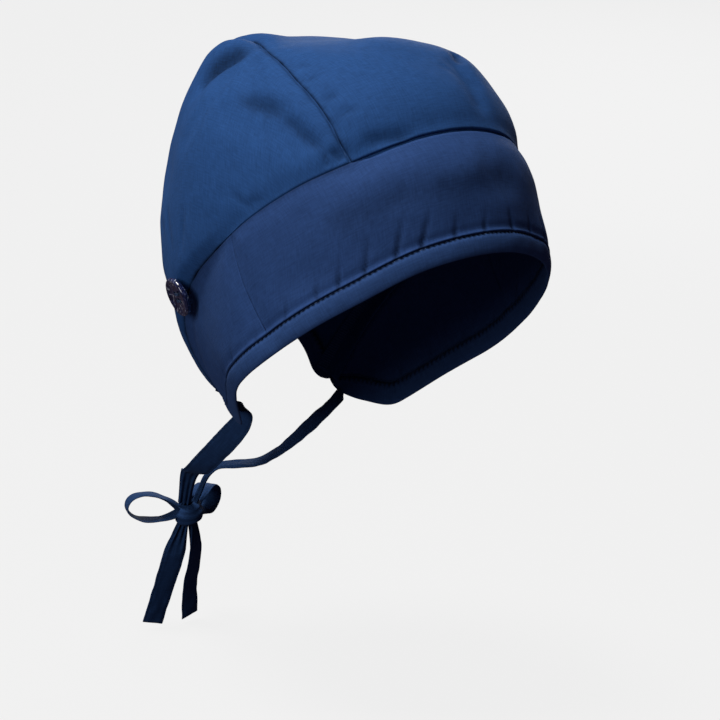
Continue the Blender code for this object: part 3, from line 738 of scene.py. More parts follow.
def top_rim(away, bearing):
    """The middle panel: lips along its seams, standing proud over the brow."""
    proud = 0.0006 * np.exp(-(away["start"] / 0.0040) ** 2) * brow_gap(bearing)
    drop = lips(away, (("bottom", 0.0010, 0.0013), ("top", 0.0010, 0.0013),
                       ("start", 0.0008, 0.0009), ("end", 0.0012, 0.0010)))
    for side, seed in (("bottom", 1.0), ("top", 2.0)):
        drop = drop + gathers(away["start"], away[side], 0.0075, 0.0060, 0.0009, seed)
    return proud - drop, 0.0


def side_rim(away, bearing):
    """A side panel: deeper than the middle panel at their seam, a lip at the band."""
    drop = lips(away, (("bottom", 0.0020, 0.0019), ("top", 0.0010, 0.0012),
                       ("start", 0.0010, 0.0010), ("end", 0.0012, 0.0010)))
    drop = drop + gathers(away["start"], away["bottom"], 0.0080, 0.0065, 0.0008, 3.0)
    drop = drop + gathers(away["start"], away["top"], 0.0090, 0.0080, 0.0007, 4.0)
    return -drop, 0.0


CROWN_LIFT, BAND_LIFT = 0.0012, 0.0014  # how far the outer faces stand off the form
panel("crown_top",
      (crown_seam(1), crown_seam(-1), band_seam(SEAM_START, -SEAM_START),
       joined([nape_arch(SEAM_END, 90, 1), nape_arch(90, SEAM_END, -1)])),
      CROWN_LIFT, top_rim, NAVY, ("bottom", "top", "end"))
turn = SIDE_SEAM[0, 1]
SIDES = ((1, "right"), (-1, "left"))  # the wearer's
for side, word in SIDES:
    panel("crown_side_" + word,
          (crown_seam(side), band_seam(side * turn, side * BAND_END),
           band_seam(side * SEAM_START, side * turn), nape_arch(SEAM_END, 0, side)),
          CROWN_LIFT, side_rim, NAVY, ("bottom", "top", "end"))

# %% [markdown]
# ## Band
# The band is cut straight and folded up over the crown's seam. Its top dives under the crown's
# edge over the brow. Its lower edge ends in a small ridge above the hem, where the topstitching
# bites, and short puckers rise from there.

# %% Puckers over the hem
PUCKERS = [
    # bearing, length in mm, breadth in mm, depth in mm, lean in degrees
    (66.0, 12, 1.2, 0.56, 8), (55.3, 13, 1.2, 0.69, 4), (48.3, 15, 1.3, 1.00, 5),
    (40.5, 19, 1.3, 1.00, 9), (31.6, 20, 1.5, 1.06, 14), (24.3, 19, 1.6, 1.06, 18),
    (14.0, 13, 1.5, 0.75, 10), (4.0, 12, 1.5, 0.75, 6), (-7.0, 14, 1.6, 0.88, -4),
    (-16.5, 12, 1.4, 0.69, 5), (-27.0, 16, 1.5, 0.94, -8), (-38.0, 13, 1.3, 0.75, 3),
    (-47.0, 15, 1.4, 0.94, -6), (-58.0, 12, 1.3, 0.62, 4), (-69.0, 14, 1.4, 0.75, -5),
    (78.0, 10, 1.3, 0.44, -4), (92.0, 11, 1.4, 0.56, 3), (104.0, 10, 1.3, 0.50, -6),
    (118.0, 12, 1.4, 0.62, 5), (132.0, 11, 1.3, 0.62, -3), (-82.0, 11, 1.3, 0.50, 4),
    (-96.0, 12, 1.4, 0.62, -4), (-109.0, 10, 1.3, 0.50, 6), (-122.0, 12, 1.4, 0.62, -5),
    (-135.0, 10, 1.3, 0.56, 3),
]
BROW_REACH = 0.088  # the form's mean reach at the hem, from the middle out


def hem_puckers(up, bearing):
    """Short folds that rise from the topstitching."""
    depth = np.zeros_like(up)
    for at, long_mm, broad_mm, deep_mm, lean in PUCKERS:
        off = (at - bearing) * pi / 180 * BROW_REACH - up * np.tan(radians(lean))
        broad = broad_mm * 0.001 * (0.6 + 18 * up)
        fade = smooth(1 - up * 1000 / long_mm)
        depth += deep_mm * 0.001 * np.exp(-(off / broad) ** 2) * fade
    return depth


print("puckers:", len(PUCKERS))

# %% Band pieces
BAND_REACH, BAND_CELL = 0.0028, 0.0012  # how far the band reaches up under the crown, and its grid


def band_rim(away, bearing):
    """A band piece: dives under the crown over the brow, and ends in a ridge over the hem."""
    gap = brow_gap(bearing)
    broad = gap * (0.75 + 0.25 * smooth((bearing - 5) / 30))
    slope = (away["top"] - BAND_REACH * gap) / (0.0010 + 0.0012 * broad)
    dive = (0.0003 + 0.0023 * broad) * (1 - smooth(slope))
    drop = np.maximum(rolled(away["top"], 0.0010, 0.0008) * (1 - gap), dive)
    drop = np.maximum(drop, lips(away, (("start", 0.0007, 0.0005), ("end", 0.0007, 0.0005))))
    low = away["bottom"]
    ridge = 0.0004 * np.exp(-((low - 0.0006) / 0.0006) ** 2)
    tuck = 0.0004 * np.exp(-((low - 0.0026) / 0.0016) ** 2)
    pucker = hem_puckers(low, bearing)
    drop = drop + rolled(low, 0.0005, 0.0010) + tuck + pucker
    # Painted shade: the puckers, and the band's top in the brow gap, are painted darker.
    return ridge - drop, np.maximum(pucker / 0.0010, 0.9 * gap * (away["top"] < 0.0035))


head = band_seam(-turn, turn, 901)
head = beside(head, BAND_REACH * brow_gap(bearing_of(head)))
panel("front_band", (HEM_FRONT, head, side_seam(-1), side_seam(1)),
      BAND_LIFT, band_rim, BAND_NAVY, ("top",), BAND_CELL)
for side, word, foot in ((1, "right", HEM_RIGHT), (-1, "left", HEM_LEFT[::-1])):
    head = band_seam(side * turn, side * BAND_END)
    panel("side_band_" + word, (foot, head, side_seam(side), evenly([foot[-1], head[-1]], 21)),
          BAND_LIFT, band_rim, BAND_NAVY, ("top",), BAND_CELL)

# %% [markdown]
# ## Hems
# A hem is the cloth's own edge, folded twice and sewn down. Seen in section it is a flat loop,
# fullest in the middle and pinched at its top by the stitches. The section below runs from under
# the band's ridge, down the outer face, round the fold and up the inside.

# %% Folded hems
HEM_SECTION = np.array([
    # down from the seam and out from the form, in millimetres
    (-1.6, 0.30), (-0.7, 0.35), (-0.1, 0.45), (0.3, 0.70), (0.7, 1.20), (1.1, 1.62),
    (1.8, 1.98), (2.8, 2.22), (4.2, 2.38), (5.6, 2.40), (7.0, 2.34), (8.2, 2.20),
    (9.1, 1.95), (9.7, 1.60), (10.0, 1.15), (9.9, 0.70), (9.4, 0.35), (8.4, 0.20),
    (6.5, 0.12), (4.5, 0.08), (2.5, 0.05), (0.8, 0.03), (-0.6, 0.02),
])
STITCH = 0.0027


def far_face_out(bm):
    """Face a closed loop outwards, judged by its face furthest from the form's middle."""
    face = max(bm.faces, key=lambda f: (f.calc_center_median() - Vector(MIDDLE)).length)
    if face.normal.dot(face.calc_center_median() - Vector(MIDDLE)) < 0:
        bmesh.ops.reverse_faces(bm, faces=bm.faces)


def hem(name, line, depth_share, wobble, seed, cells, narrowing, left_over):
    """A folded hem along a line, with dips where its stitches bite, narrowing at both ends."""
    line = evenly(line, cells + 1)
    run = run_of(line)
    to_end = np.minimum(run, run[-1] - run)
    closed = np.sqrt(1 - (1 - np.clip(to_end / narrowing, 0, 1)) ** 2)
    closed = left_over + (1 - left_over) * closed
    bites = np.cos(pi * run / STITCH) ** 2
    rows, maps, creases = [], [], []
    for down, out in HEM_SECTION * 0.001:
        down = down * depth_share
        base = beside(line, -(0.0010 + (down - 0.0010) * closed))
        inner, shade = cloth(base)
        out = 0.0009 + (out - 0.0009) * np.clip(closed * 1.6, 0, 1)
        tooth = np.exp(-((down - 0.0008) / 0.0005) ** 2)
        bite = tooth * 0.00045 * bites
        swell = noise_at(run / 0.011, down / 0.006, seed) * wobble * (out > 0.0012)
        rows.append(inner + outward(base) * (out - bite + swell)[:, None])
        maps.append(np.stack([run, np.full_like(run, down + float(out[len(out) // 2]))], axis=1))
        # Painted shade: darker in the groove under the band's ridge, at the stitch bites and in deep
        # folds.
        groove = np.exp(-((down + 0.0002) / 0.0007) ** 2) + 0.7 * tooth * bites
        creases.append(np.clip(groove + 0.4 * shade, 0, 1))
    points, weave_map = np.stack(rows, axis=1), np.stack(maps, axis=1)
    mesh, area = grid_mesh(name + "_cloth", points, weave_map, np.stack(creases, axis=1), far_face_out)
    item = thicken(add_piece(name + "_cloth", mesh, HEM_NAVY, [name]), HEM_CLOTH)
    print("%s: %.0f mm long, %.1f square cm" % (name, run[-1] * 1000, area * 1e4))


hem("brow_hem", HEM_TOP, 1.0, 0.00020, 5.0, 900, 0.020, 0.12)
arch = joined([nape_arch(0, 90, 1), nape_arch(90, 0, -1)])
hem("nape_hem", arch, 0.9, 0.00025, 6.0, 300, 0.008, 0.45)

# %% [markdown]
# ## Inside seams
# Turned inside out, a cap shows its seam allowances: two raw edges held together by an overlock
# stitch and pressed to one side. They close the seams against the light too. Each is a strip laid
# along its seam on the inner face, and the thread loops are a second pattern in its material.

# %% Overlocked cloth
overlock, enter, leave = new_group(
    "Overlock thread",
    [("Vector", "NodeSocketVector", None), ("Colour", "NodeSocketColor", (0.02, 0.06, 0.17, 1)),
     ("Thread colour", "NodeSocketColor", (0.04, 0.09, 0.22, 1)), ("Height", "NodeSocketFloat", 0.0)],
    [("Colour", "NodeSocketColor", None), ("Height", "NodeSocketFloat", None)])
LOOP_STEP, LOOP_SLANT, LOOPS_FROM = 0.0014, 420.0, 0.0032
calc = partial(link_math, overlock)
parts = overlock.nodes.new("ShaderNodeSeparateXYZ")
overlock.links.new(enter.outputs["Vector"], parts.inputs[0])
slant = calc("ADD", calc("MULTIPLY", parts.outputs[0], pi / LOOP_STEP),
             calc("MULTIPLY", parts.outputs[1], LOOP_SLANT))
loops = calc("POWER", calc("ABSOLUTE", calc("SINE", slant)), 3.0)
mask = calc("MULTIPLY", loops, calc("GREATER_THAN", parts.outputs[1], LOOPS_FROM))
blend = overlock.nodes.new("ShaderNodeMix")
blend.data_type = "RGBA"
overlock.links.new(mask, blend.inputs["Factor"])
overlock.links.new(enter.outputs["Colour"], blend.inputs["A"])
overlock.links.new(enter.outputs["Thread colour"], blend.inputs["B"])
overlock.links.new(blend.outputs["Result"], leave.inputs["Colour"])
raised_thread = calc("ADD", enter.outputs["Height"], calc("MULTIPLY", mask, 3.0))
overlock.links.new(raised_thread, leave.inputs["Height"])
ALLOWANCE = cloth_finish("navy_poplin_inside", (0.0150, 0.052, 0.160), overlock)
print("overlock group has", len(overlock.nodes), "nodes")

# %% Strips along the seams
ACROSS = np.array([-2.2, -1.2, 0.0, 1.2, 2.4, 3.6, 4.8, 6.0, 7.0, 7.5]) / 7.5
ALLOWANCE_WIDTH = 0.0080


def allowance(name, line, way):
    """A seam allowance along a line on the inner face, pressed to one side."""
    run = run_of(line)
    rows, maps = [], []
    for over in ACROSS * ALLOWANCE_WIDTH:
        base = beside(line, over * way)
        inner, shade = cloth(base)
        lift = 0.00045 + 0.00025 * smooth(over / ALLOWANCE_WIDTH) * noise_at(run / 0.014, over * 90, 3)
        rows.append(inner + outward(base) * lift[:, None])
        maps.append(np.stack([run, np.full_like(run, over)], axis=1))
    points = np.stack(rows, axis=1)
    mesh = grid_mesh(name, points, np.stack(maps, axis=1), np.zeros(points.shape[:2]))[0]
    item = thicken(add_piece(name, mesh, ALLOWANCE), ALLOWANCE_CLOTH)
    print("%s: %.0f mm" % (name, 1000 * run[-1]))


allowance("crown_seam_right_inside", crown_seam(1, 300), -1)
allowance("crown_seam_left_inside", crown_seam(-1, 300), 1)
allowance("band_seam_inside", band_seam(-BAND_END, BAND_END, 420), 1)

# %% [markdown]
# ## Sewing thread
# The hem is held by a row of short stitches. Each stitch is a tiny pad of thread that sinks into
# the cloth, so one small ball is stretched along the seam and laid again at every bite. A ball of
# 24 faces is enough, because there are hundreds of them.

# %% Thread
def object_noise(tree, scale, detail=3.0, stretch=(1, 1, 1), warp=0.0):
    """Noise on Object coordinates, with features of one over the scale in metres."""
    place = tree.nodes.new("ShaderNodeTexCoord")
    turned_way = tree.nodes.new("ShaderNodeMapping")
    turned_way.inputs["Scale"].default_value = stretch
    tree.links.new(place.outputs["Object"], turned_way.inputs["Vector"])
    return noise_texture(tree, turned_way.outputs[0], scale, detail, warp)


def between(tree, factor, stops):
    """A colour ramp on a mask: stops of a place and a colour."""
    ramp = tree.nodes.new("ShaderNodeValToRGB")
    tree.links.new(factor, ramp.inputs[0])
    places = ramp.color_ramp.elements
    for number, (place, colour) in enumerate(stops):
        stop = places[number] if number < 2 else places.new(place)
        stop.position = place
        stop.color = (*colour, 1)
    return ramp.outputs[0]


THREAD, tree, shader = new_finish("navy_thread", {"Roughness": 0.55})
twist = object_noise(tree, 2600, 2.0)
tree.links.new(between(tree, twist, [(0.3, (0.010, 0.028, 0.080)), (0.7, (0.030, 0.075, 0.180))]),
               shader.inputs["Base Color"])
bumped(tree, shader, twist, 0.00008)
print("thread finish:", THREAD.name)

# %% Rows of stitches
STITCH_LONG, STITCH_BROAD, STITCH_LIFT = 0.0019, 0.00042, 0.00105


def hem_stitches(name, line, depth_share):
    """Stitches in the groove over a hem, each a small ball drawn out along it."""
    count = int(run_of(line)[-1] / STITCH)
    base = beside(along(line, (np.arange(count) + 0.5) / count), -0.0006 * depth_share)
    inner, shade = cloth(base)
    bm = bmesh.new()
    half_long, half_broad = STITCH_LONG / 2, STITCH_BROAD / 2
    spots, ways = inner + outward(base) * STITCH_LIFT, np.gradient(inner, axis=0)
    for spot, way, lift in zip(spots, ways, outward(base)):
        way = Vector(way).normalized()
        side_way = Vector(lift).cross(way).normalized()
        axes = (way * half_long, side_way * half_broad, way.cross(side_way) * half_broad)
        place = Matrix.Translation(Vector(spot)) @ Matrix(axes).transposed().to_4x4()
        bmesh.ops.create_uvsphere(bm, u_segments=6, v_segments=4, radius=1.0, matrix=place)
    bmesh.ops.recalc_face_normals(bm, faces=bm.faces)
    add_piece(name, mesh_from(name, bm), THREAD)
    print("%s: %d stitches" % (name, count))


hem_stitches("brow_hem_stitches", HEM_TOP, 1.0)
hem_stitches("nape_hem_stitches", arch, 0.9)

# %% [markdown]
# ## Buttons
# Behind each ear sits a button that the loop of a mask hooks over. It is pressed plastic with a
# raised rim, four holes and pale veins in dark navy, and two bars of thread hold it. Its section
# is drawn once and spun round, and a small cutter of the hole's shape is taken out four times.

# %% Marbled plastic
MARBLE, tree, shader = new_finish("marbled_button", {
    "Roughness": 0.16, "Coat Weight": 0.5, "Coat Roughness": 0.06})
swirl = object_noise(tree, 420, 4.0, (1, 1, 0.6), 1.8)
veins = between(tree, swirl, [(0.42, (0.005, 0.007, 0.030)), (0.66, (0.30, 0.33, 0.38)),
                              (0.53, (0.012, 0.018, 0.075)), (0.60, (0.050, 0.065, 0.140))])
tree.links.new(veins, shader.inputs["Base Color"])
print("plastic finish:", MARBLE.name)

# %% Button shape
BUTTON_SECTION = [
    # out from the middle and up from the back, in millimetres
    (0.0, 2.15), (3.4, 2.15), (6.2, 2.22), (7.2, 2.40), (7.9, 2.85), (8.5, 3.14), (9.1, 3.15),
    (9.6, 2.92), (9.9, 2.45), (10.0, 1.90), (9.95, 1.20), (9.7, 0.60), (9.2, 0.20), (8.4, 0.02),
    (0.0, 0.0),
]
HOLE_SECTION = [
    (0.0, -1.0), (0.95, -1.0), (0.95, 1.75), (1.08, 2.02), (1.40, 2.25), (1.40, 5.0), (0.0, 5.0),
]


def spun(section, steps, merge):
    """A section of outs and rises spun round an upright axis, as a bmesh."""
    bm = bmesh.new()
    line = [bm.verts.new((out, 0, rise)) for out, rise in section]
    edges = [bm.edges.new(pair) for pair in zip(line, line[1:])]
    bmesh.ops.spin(bm, geom=line + edges, axis=(0, 0, 1), cent=(0, 0, 0), angle=2 * pi,
                   steps=steps, use_merge=True)
    bmesh.ops.remove_doubles(bm, verts=bm.verts, dist=merge)
    return bm


def turned_body(name, section, steps, at=(0, 0)):
    """A closed mesh from a section in millimetres."""
    bm = spun([(out * 0.001, rise * 0.001) for out, rise in section], steps, 0.000005)
    bmesh.ops.recalc_face_normals(bm, faces=bm.faces)
    bmesh.ops.translate(bm, verts=bm.verts, vec=(*at, 0))
    return mesh_from(name, bm)


print("button is", 2 * max(out for out, rise in BUTTON_SECTION), "mm across")

# %% Holes, and the place on the cap
BUTTON_LEAN, BUTTON_BACK, BUTTON_SUNK = 14.0, 0.0016, 0.0002  # degrees, then metres


def with_holes(name, body, holes):
    """A mesh with others cut out of it."""
    item, cutters = put(name, body), []
    for number, hole in enumerate(holes):
        cutters.append(put(f"{name}_{number}", hole))
        cut = item.modifiers.new(f"Hole {number}", "BOOLEAN")
        cut.operation = "DIFFERENCE"
        cut.object = cutters[-1]
    mesh = bpy.data.meshes.new_from_object(item.evaluated_get(bpy.context.evaluated_depsgraph_get()))
    for extra in [item] + cutters:
        bpy.data.objects.remove(extra)
    mesh.name = name
    return mesh


def button_place(side):
    """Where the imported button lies, with its face turned a few degrees more to the back."""
    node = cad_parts["button_right" if side > 0 else "button_left"]
    spots = np.array([vert.co for vert in node.data.vertices])
    middle = (spots.min(axis=0) + spots.max(axis=0)) / 2
    away = np.linalg.svd(spots - spots.mean(axis=0), full_matrices=False)[2][2]
    away = Vector(away if away[0] * side < 0 else -away)
    away.rotate(Matrix.Rotation(radians(BUTTON_LEAN * -side), 3, "Z"))
    facing = away.to_track_quat("Z", "Y").to_matrix().to_4x4()
    middle[1] += BUTTON_BACK
    return Matrix.Translation(Vector(middle)) @ facing @ Matrix.Translation((0, 0, -BUTTON_SUNK))


print("button middle:", [round(c, 4) for c in button_place(1).translation])

# %% Two buttons with their thread
HOLE_REACH, STRAND, STRAND_STEP, BAR_FLATNESS, BAR_RISE = 0.0018, 0.00019, 0.00032, 0.55, 0.0019
for side, word in SIDES:
    holes = [turned_body("hole", HOLE_SECTION, 20, (x * HOLE_REACH, y * HOLE_REACH))
             for x in (1, -1) for y in (1, -1)]
    mesh = with_holes("button_" + word + "_fine", turned_body("button", BUTTON_SECTION, 72), holes)
    mesh.transform(button_place(side))
    add_piece("button_" + word + "_fine", mesh, MARBLE, ["button_" + word])
    bm = bmesh.new()
    for bar in (-1, 1):
        for strand in (-1.5, -0.5, 0.5, 1.5):
            level = bar * HOLE_REACH + strand * STRAND_STEP
            ring = bmesh.ops.create_circle(bm, segments=8, radius=STRAND)
            bmesh.ops.translate(bm, verts=ring["verts"], vec=(-HOLE_REACH, level, 0))
            edges = list({edge for vert in ring["verts"] for edge in vert.link_edges})
            bmesh.ops.spin(bm, geom=ring["verts"] + edges, axis=(0, 1, 0), cent=(0, level, 0),
                           angle=pi, steps=14)
    bmesh.ops.scale(bm, verts=bm.verts, vec=(1, 1, BAR_FLATNESS))
    bmesh.ops.translate(bm, verts=bm.verts, vec=(0, 0, BAR_RISE))
    bmesh.ops.recalc_face_normals(bm, faces=bm.faces)
    bmesh.ops.transform(bm, verts=bm.verts, matrix=button_place(side))
    add_piece("button_" + word + "_thread", mesh_from("thread", bm), THREAD)
    print("button_" + word + ":", len(mesh.polygons), "faces")

# %% [markdown]
# ## Ties and bow
# Each tie is a strip of poplin folded lengthways and sewn along both edges. It hangs from the end
# of the band, gathers towards the knot and goes on as a loop and a tail. A flat, closed section
# is carried along a curve, thinner at the sewn edges. Where the strip is squeezed, the section is
# pleated, which gives the creases that run out of a knot.

# %% A strap along a curve
SEWN_AT = 0.80  # where the edge seams lie, as a share of the half width
PLEAT_DEPTH, PLEAT_WAVES, TWIST, RIPPLE = 0.0013, 3.1 * pi, 0.0005, 0.00035


def unit(vectors):
    """Vectors of length 1."""
    vectors = np.asarray(vectors, dtype=float)
    return vectors / np.linalg.norm(vectors, axis=-1, keepdims=True)


def strap_section(count=44):
    """Places round a flat section: across from -1 to 1, and outward from -1 to 1."""
    turn = np.linspace(0, 2 * pi, count + 1)
    x = np.sign(np.cos(turn)) * np.abs(np.cos(turn)) ** 0.75
    y = np.sign(np.sin(turn)) * np.abs(np.sin(turn)) ** 0.55
    y *= 0.62 + 0.38 * np.sqrt(np.clip(1 - np.abs(x) ** 2.2, 0, 1))
    y *= 1 - 0.45 * np.exp(-((np.abs(x) - SEWN_AT) / 0.07) ** 2)
    return x, y


def close_round(bm):
    """Close a section that comes back to its start, and face it outwards."""
    bmesh.ops.remove_doubles(bm, verts=bm.verts, dist=0.00001)
    bmesh.ops.recalc_face_normals(bm, faces=bm.faces)


def strap(name, line, across, widths, pleats, seed, thickness=0.0015, cup=0.0):
    """A sewn strip of cloth along a curve, pleated where its share of pleats is high."""
    line = np.asarray(line, dtype=float)
    way = unit(np.gradient(line, axis=0))
    across = unit(across - np.sum(across * way, axis=1, keepdims=True) * way)
    face = np.cross(way, across)
    run = run_of(line)
    x, y = strap_section()
    shut = np.sqrt(np.clip(np.minimum(run, run[-1] - run) / 0.0008, 0, 1))
    half, pleats = np.asarray(widths)[:, None] / 2, np.asarray(pleats)[:, None]
    wave = noise_at(run / 0.009, seed, 0)[:, None]
    ripple = noise_at(run[:, None] / 0.006, x * 1.6, seed + 5)
    lean = 0.5 * np.sin(run / 0.011 + seed)[:, None]
    pleated = np.cos(PLEAT_WAVES * x + lean)
    fold_up = pleats * PLEAT_DEPTH * pleated + cup * half * (x ** 2 - 0.35)
    fold_up = fold_up + TWIST * wave * x + RIPPLE * ripple
    out = y * thickness / 2 * shut[:, None] + fold_up
    points = (line[:, None] + across[:, None] * (x * half * (1 - 0.03 * np.abs(ripple)))[..., None]
              + face[:, None] * out[..., None])
    steps = np.hypot(np.diff(x) * half.mean(), np.diff(y) * thickness / 2)
    run_round = np.concatenate([[0], np.cumsum(steps)])
    weave_map = np.stack(np.broadcast_arrays(run_round[None], run[:, None]), axis=2)
    # Painted shade: darker in dashes along the sewn edges, at the stitch pitch, and in the pleats'
    # valleys.
    stitch = np.exp(-((np.abs(x) - SEWN_AT) / 0.05) ** 2)[None] * np.cos(pi * run / STITCH)[:, None] ** 2
    painted_shade = np.clip(0.5 * stitch + 0.55 * pleats * (0.5 - 0.5 * pleated), 0, 1)
    mesh, area = grid_mesh(name + "_cloth", points, weave_map, painted_shade, close_round)
    item = add_piece(name + "_cloth", mesh, TIE_NAVY, [name])
    print("%s: %.0f mm long" % (name, run[-1] * 1000))


print("a strap's section has", len(strap_section()[0]) - 1, "points")

# %% Where the ties start and where the knot hangs
KNOT = np.array([-0.0110, 0.0900, -0.2560])
KNOT_WIDTH, KNOT_HEIGHT, TIE_WIDTH = 0.0130, 0.0150, 0.0125
LOOP_REACH, LOOP_OPEN, TAIL_LENGTH = 0.0270, 0.0170, 0.0580


def band_end():
    """The top corner of the right end of the band, the way down it and the way onwards."""
    low = cloth(beside(HEM_RIGHT, -HEM_DEPTH)[-1:])[0][0]
    top_on_form = on_form(BAND_END, band_height(BAND_END))
    top = cloth(top_on_form)[0][0]
    down = unit(low - top)
    out = outward(top_on_form)[0]
    return top + out * 0.0011, down, unit(np.cross(down, out)), out


TOP_CORNER, DOWN, ONWARD, OUT = band_end()
shares = np.linspace(0, 1, 150)
for side, word in SIDES:
    mirror = np.array([side, 1, 1])
    first = (TOP_CORNER + DOWN * TIE_WIDTH * 0.52 - ONWARD * 0.0040 - OUT * 0.0002) * mirror
    last = KNOT + np.array([-KNOT_WIDTH * 0.27, 0, KNOT_HEIGHT * 0.30]) * mirror
    span = np.linalg.norm(last - first)
    line = smooth_line([first, first + (ONWARD * 0.085 + DOWN * 0.12) * mirror * span,
                        (first + last) / 2 + np.array([-0.01, 0.01, -0.07]) * mirror * span,
                        last + np.array([-0.05, -0.10, 0.20]) * mirror * span, last], 150)
    turn_over = smooth(1.4 * shares)[:, None]
    across = unit((1 - turn_over) * DOWN + turn_over * np.array([0.70, -0.69, -0.12])) * mirror
    narrow = smooth(2.5 * shares - 1.5)
    pinch = np.exp(-(shares / 0.16) ** 2)
    widths = TIE_WIDTH * (1 - 0.45 * narrow - 0.66 * pinch)
    strap("tie_" + word, line, across, widths, 0.75 * narrow, 2.0 + side)

# %% Loops and tails
loop_marks = np.linspace(0, 1, 181)
for side, word in SIDES:
    mirror = np.array([side, 1, 1])
    out, rise = unit([-0.86, 0.48, 0.10]), unit([0.10, -0.05, 1.0])
    through = np.cross(out, rise) * mirror
    start = KNOT + out * KNOT_WIDTH * 0.36 * mirror
    line = []
    for turn in np.linspace(0.10, 2 * pi - 0.10, 161):
        broad = sin(turn) * abs(sin(turn / 2)) ** 0.6
        line.append(start + (out * (LOOP_REACH + 0.0018) * (1 - cos(turn)) / 2
                             + rise * LOOP_OPEN / 2 * broad * (1.05 if turn < pi else 0.9)) * mirror)
    line = evenly(line, 181)
    to_knot = np.minimum(loop_marks, 1 - loop_marks)
    tight = 1 - smooth(to_knot / 0.22)
    swing = (loop_marks - 0.5)[:, None] * out * mirror * 0.35
    strap("bow_loop_" + word, line, through + swing, TIE_WIDTH * 0.9 * (1 - 0.35 * tight),
          0.8 * tight, 8.0 + side, 0.0013)
    start = KNOT + np.array([-KNOT_WIDTH * 0.20, 0.0, -KNOT_HEIGHT * 0.30]) * mirror
    fall, bow_out = np.array([-0.24, 0.10, -0.96]), np.array([0.05, 0.06, 0.0])
    reach = TAIL_LENGTH + KNOT_HEIGHT * 0.13
    line = smooth_line([start, start + fall * mirror * reach * 0.33,
                        start + (fall * 0.68 + bow_out) * mirror * reach,
                        start + (fall + 1.4 * bow_out) * mirror * reach], 150)
    across = unit(np.array([0.86, -0.40, -0.12]) + np.outer(shares, [0, 0.30, 0])) * mirror
    strap("tail_" + word, line, across, TIE_WIDTH * (0.50 + 0.50 * smooth(3 * shares)),
          0.9 * (1 - smooth(2.6 * shares)), 12.0 + side, 0.0014)

# %% Knot
# The strip crosses itself, so the knot is one turn of it, barrel-shaped and drawn in at the edges.
knot_run = np.linspace(-0.30, 2 * pi + 0.55, 140)
radius = 0.0052 + 0.00022 * knot_run
front_to_back = 0.0045 + 0.00022 * knot_run
turned_on = knot_run + 0.6
line = KNOT + np.stack([radius * np.cos(turned_on), front_to_back * np.sin(turned_on),
                        0.0021 * np.cos(knot_run)], axis=1)
across = np.stack([0.16 * np.sin(knot_run), 0.16 * np.cos(knot_run), np.ones_like(knot_run)], axis=1)
strap("bow_knot", line, across, np.full(140, 0.0118), np.full(140, 0.32), 21.0, 0.0014, cup=-0.55)

# %% [markdown]
# ## Camera, floor and lights
# The camera has the photograph's place, found by fitting the form's outline and seams to it. The
# floor is a wide bowl that glows by itself, so the backdrop is one even pale grey from all sides
# and throws no light on the cloth. Three large soft lights do the rest: a strong one overhead,
# one from the camera's left, and a weaker one from behind that draws the bright rims.

# %% Camera
SENSOR, PICTURE = 36, 720  # breadth of the sensor in millimetres and of the picture in pixels
SCALE, DISTANCE = 2030, 1.1  # pixels to a metre at the cap, and metres from it
AXIS_X, AXIS_Y = 359.173, 270.604  # the pixel that the lens points at
TARGET = Vector((0, -0.02106, -0.1117))
turned, raised, rolled_by = radians(-43.4872), radians(7.7966), radians(2.9215)
back = Vector((sin(turned) * cos(raised), -cos(turned) * cos(raised), sin(raised)))
right = Vector((cos(turned), sin(turned), 0))
up = back.cross(right)
tilted_right = right * cos(rolled_by) + up * sin(rolled_by)
tilted_up = up * cos(rolled_by) - right * sin(rolled_by)
lens = bpy.data.cameras.new("camera")
lens.sensor_width = SENSOR
lens.lens = SENSOR * SCALE * DISTANCE / PICTURE
lens.shift_x = (PICTURE / 2 - AXIS_X) / PICTURE
lens.shift_y = -(PICTURE / 2 - AXIS_Y) / PICTURE
lens.clip_start = 0.01
camera = put("camera", lens)
axes = Matrix((tilted_right, tilted_up, back)).transposed().to_4x4()
camera.matrix_world = Matrix.Translation(TARGET + back * DISTANCE) @ axes
bpy.context.scene.camera = camera
print("camera at", [round(c, 3) for c in camera.matrix_world.translation])

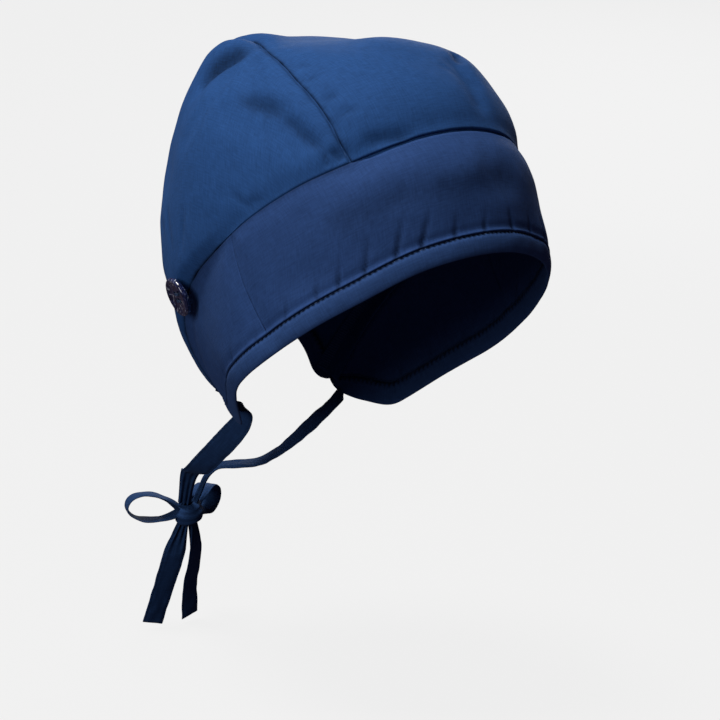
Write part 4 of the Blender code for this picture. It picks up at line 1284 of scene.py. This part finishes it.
# %% Floor that curves up into a backdrop
floor_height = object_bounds()[0][2] - 0.002
FLOOR_REACH, FLOOR_BEND, WALL = 2.2, 1.4, 3.5
spots = [(0.0, 0.0), (FLOOR_REACH * 0.5, 0.0)]
for angle in np.linspace(0, pi / 2, 25):
    spots.append((FLOOR_REACH + FLOOR_BEND * sin(angle), FLOOR_BEND * (1 - cos(angle))))
spots.append((FLOOR_REACH + FLOOR_BEND, WALL))
bm = spun(spots, 96, 0.0005)
bmesh.ops.translate(bm, verts=bm.verts, vec=(0, 0, floor_height))
floor = put("floor", mesh_from("floor", bm))
pale, tree, shader = new_finish("pale_floor", {
    "Base Color": (0.03, 0.03, 0.03, 1), "Roughness": 1.0, "Specular IOR Level": 0.0,
    "Emission Color": (0.842, 0.842, 0.842, 1), "Emission Strength": 1.0})
pale.cycles.emission_sampling = "NONE"
floor.data.materials.append(pale)
floor.visible_diffuse = False
floor.visible_glossy = False
floor.visible_shadow = False
print("floor at", round(floor_height, 3))

# %% Lights
LIGHT_REACH = 3.0


def area_light(name, direction, size, power, colour):
    """A round soft light that looks at the cap."""
    lamp = bpy.data.lights.new(name, "AREA")
    lamp.shape = "DISK"
    lamp.size = size
    lamp.energy = power
    lamp.color = colour
    item = put(name, lamp)
    away = Vector(direction).normalized()
    item.location = TARGET + away * LIGHT_REACH
    item.rotation_euler = away.to_track_quat("Z", "Y").to_euler()
    print("%s light: %d W, %.1f m across" % (name, power, size))


overhead = Vector((0, 0, 1))
area_light("key", -right * 0.27 + overhead * 0.95 + back * 0.10, 1.2, 97, (1.0, 0.99, 0.97))
area_light("side", -right * 0.58 + overhead * 0.15 + back * 0.80, 1.6, 36, (1.0, 0.99, 0.98))
area_light("rim", -back * 1.0 + right * 0.15 + overhead * 0.45, 1.2, 28, (0.97, 0.98, 1.0))
world = bpy.data.worlds.new("studio")
bpy.context.scene.world = world
world.use_nodes = True
glow = world.node_tree.nodes["Background"]
glow.inputs["Color"].default_value = (1.0, 0.72, 0.92, 1)
glow.inputs["Strength"].default_value = 0.06
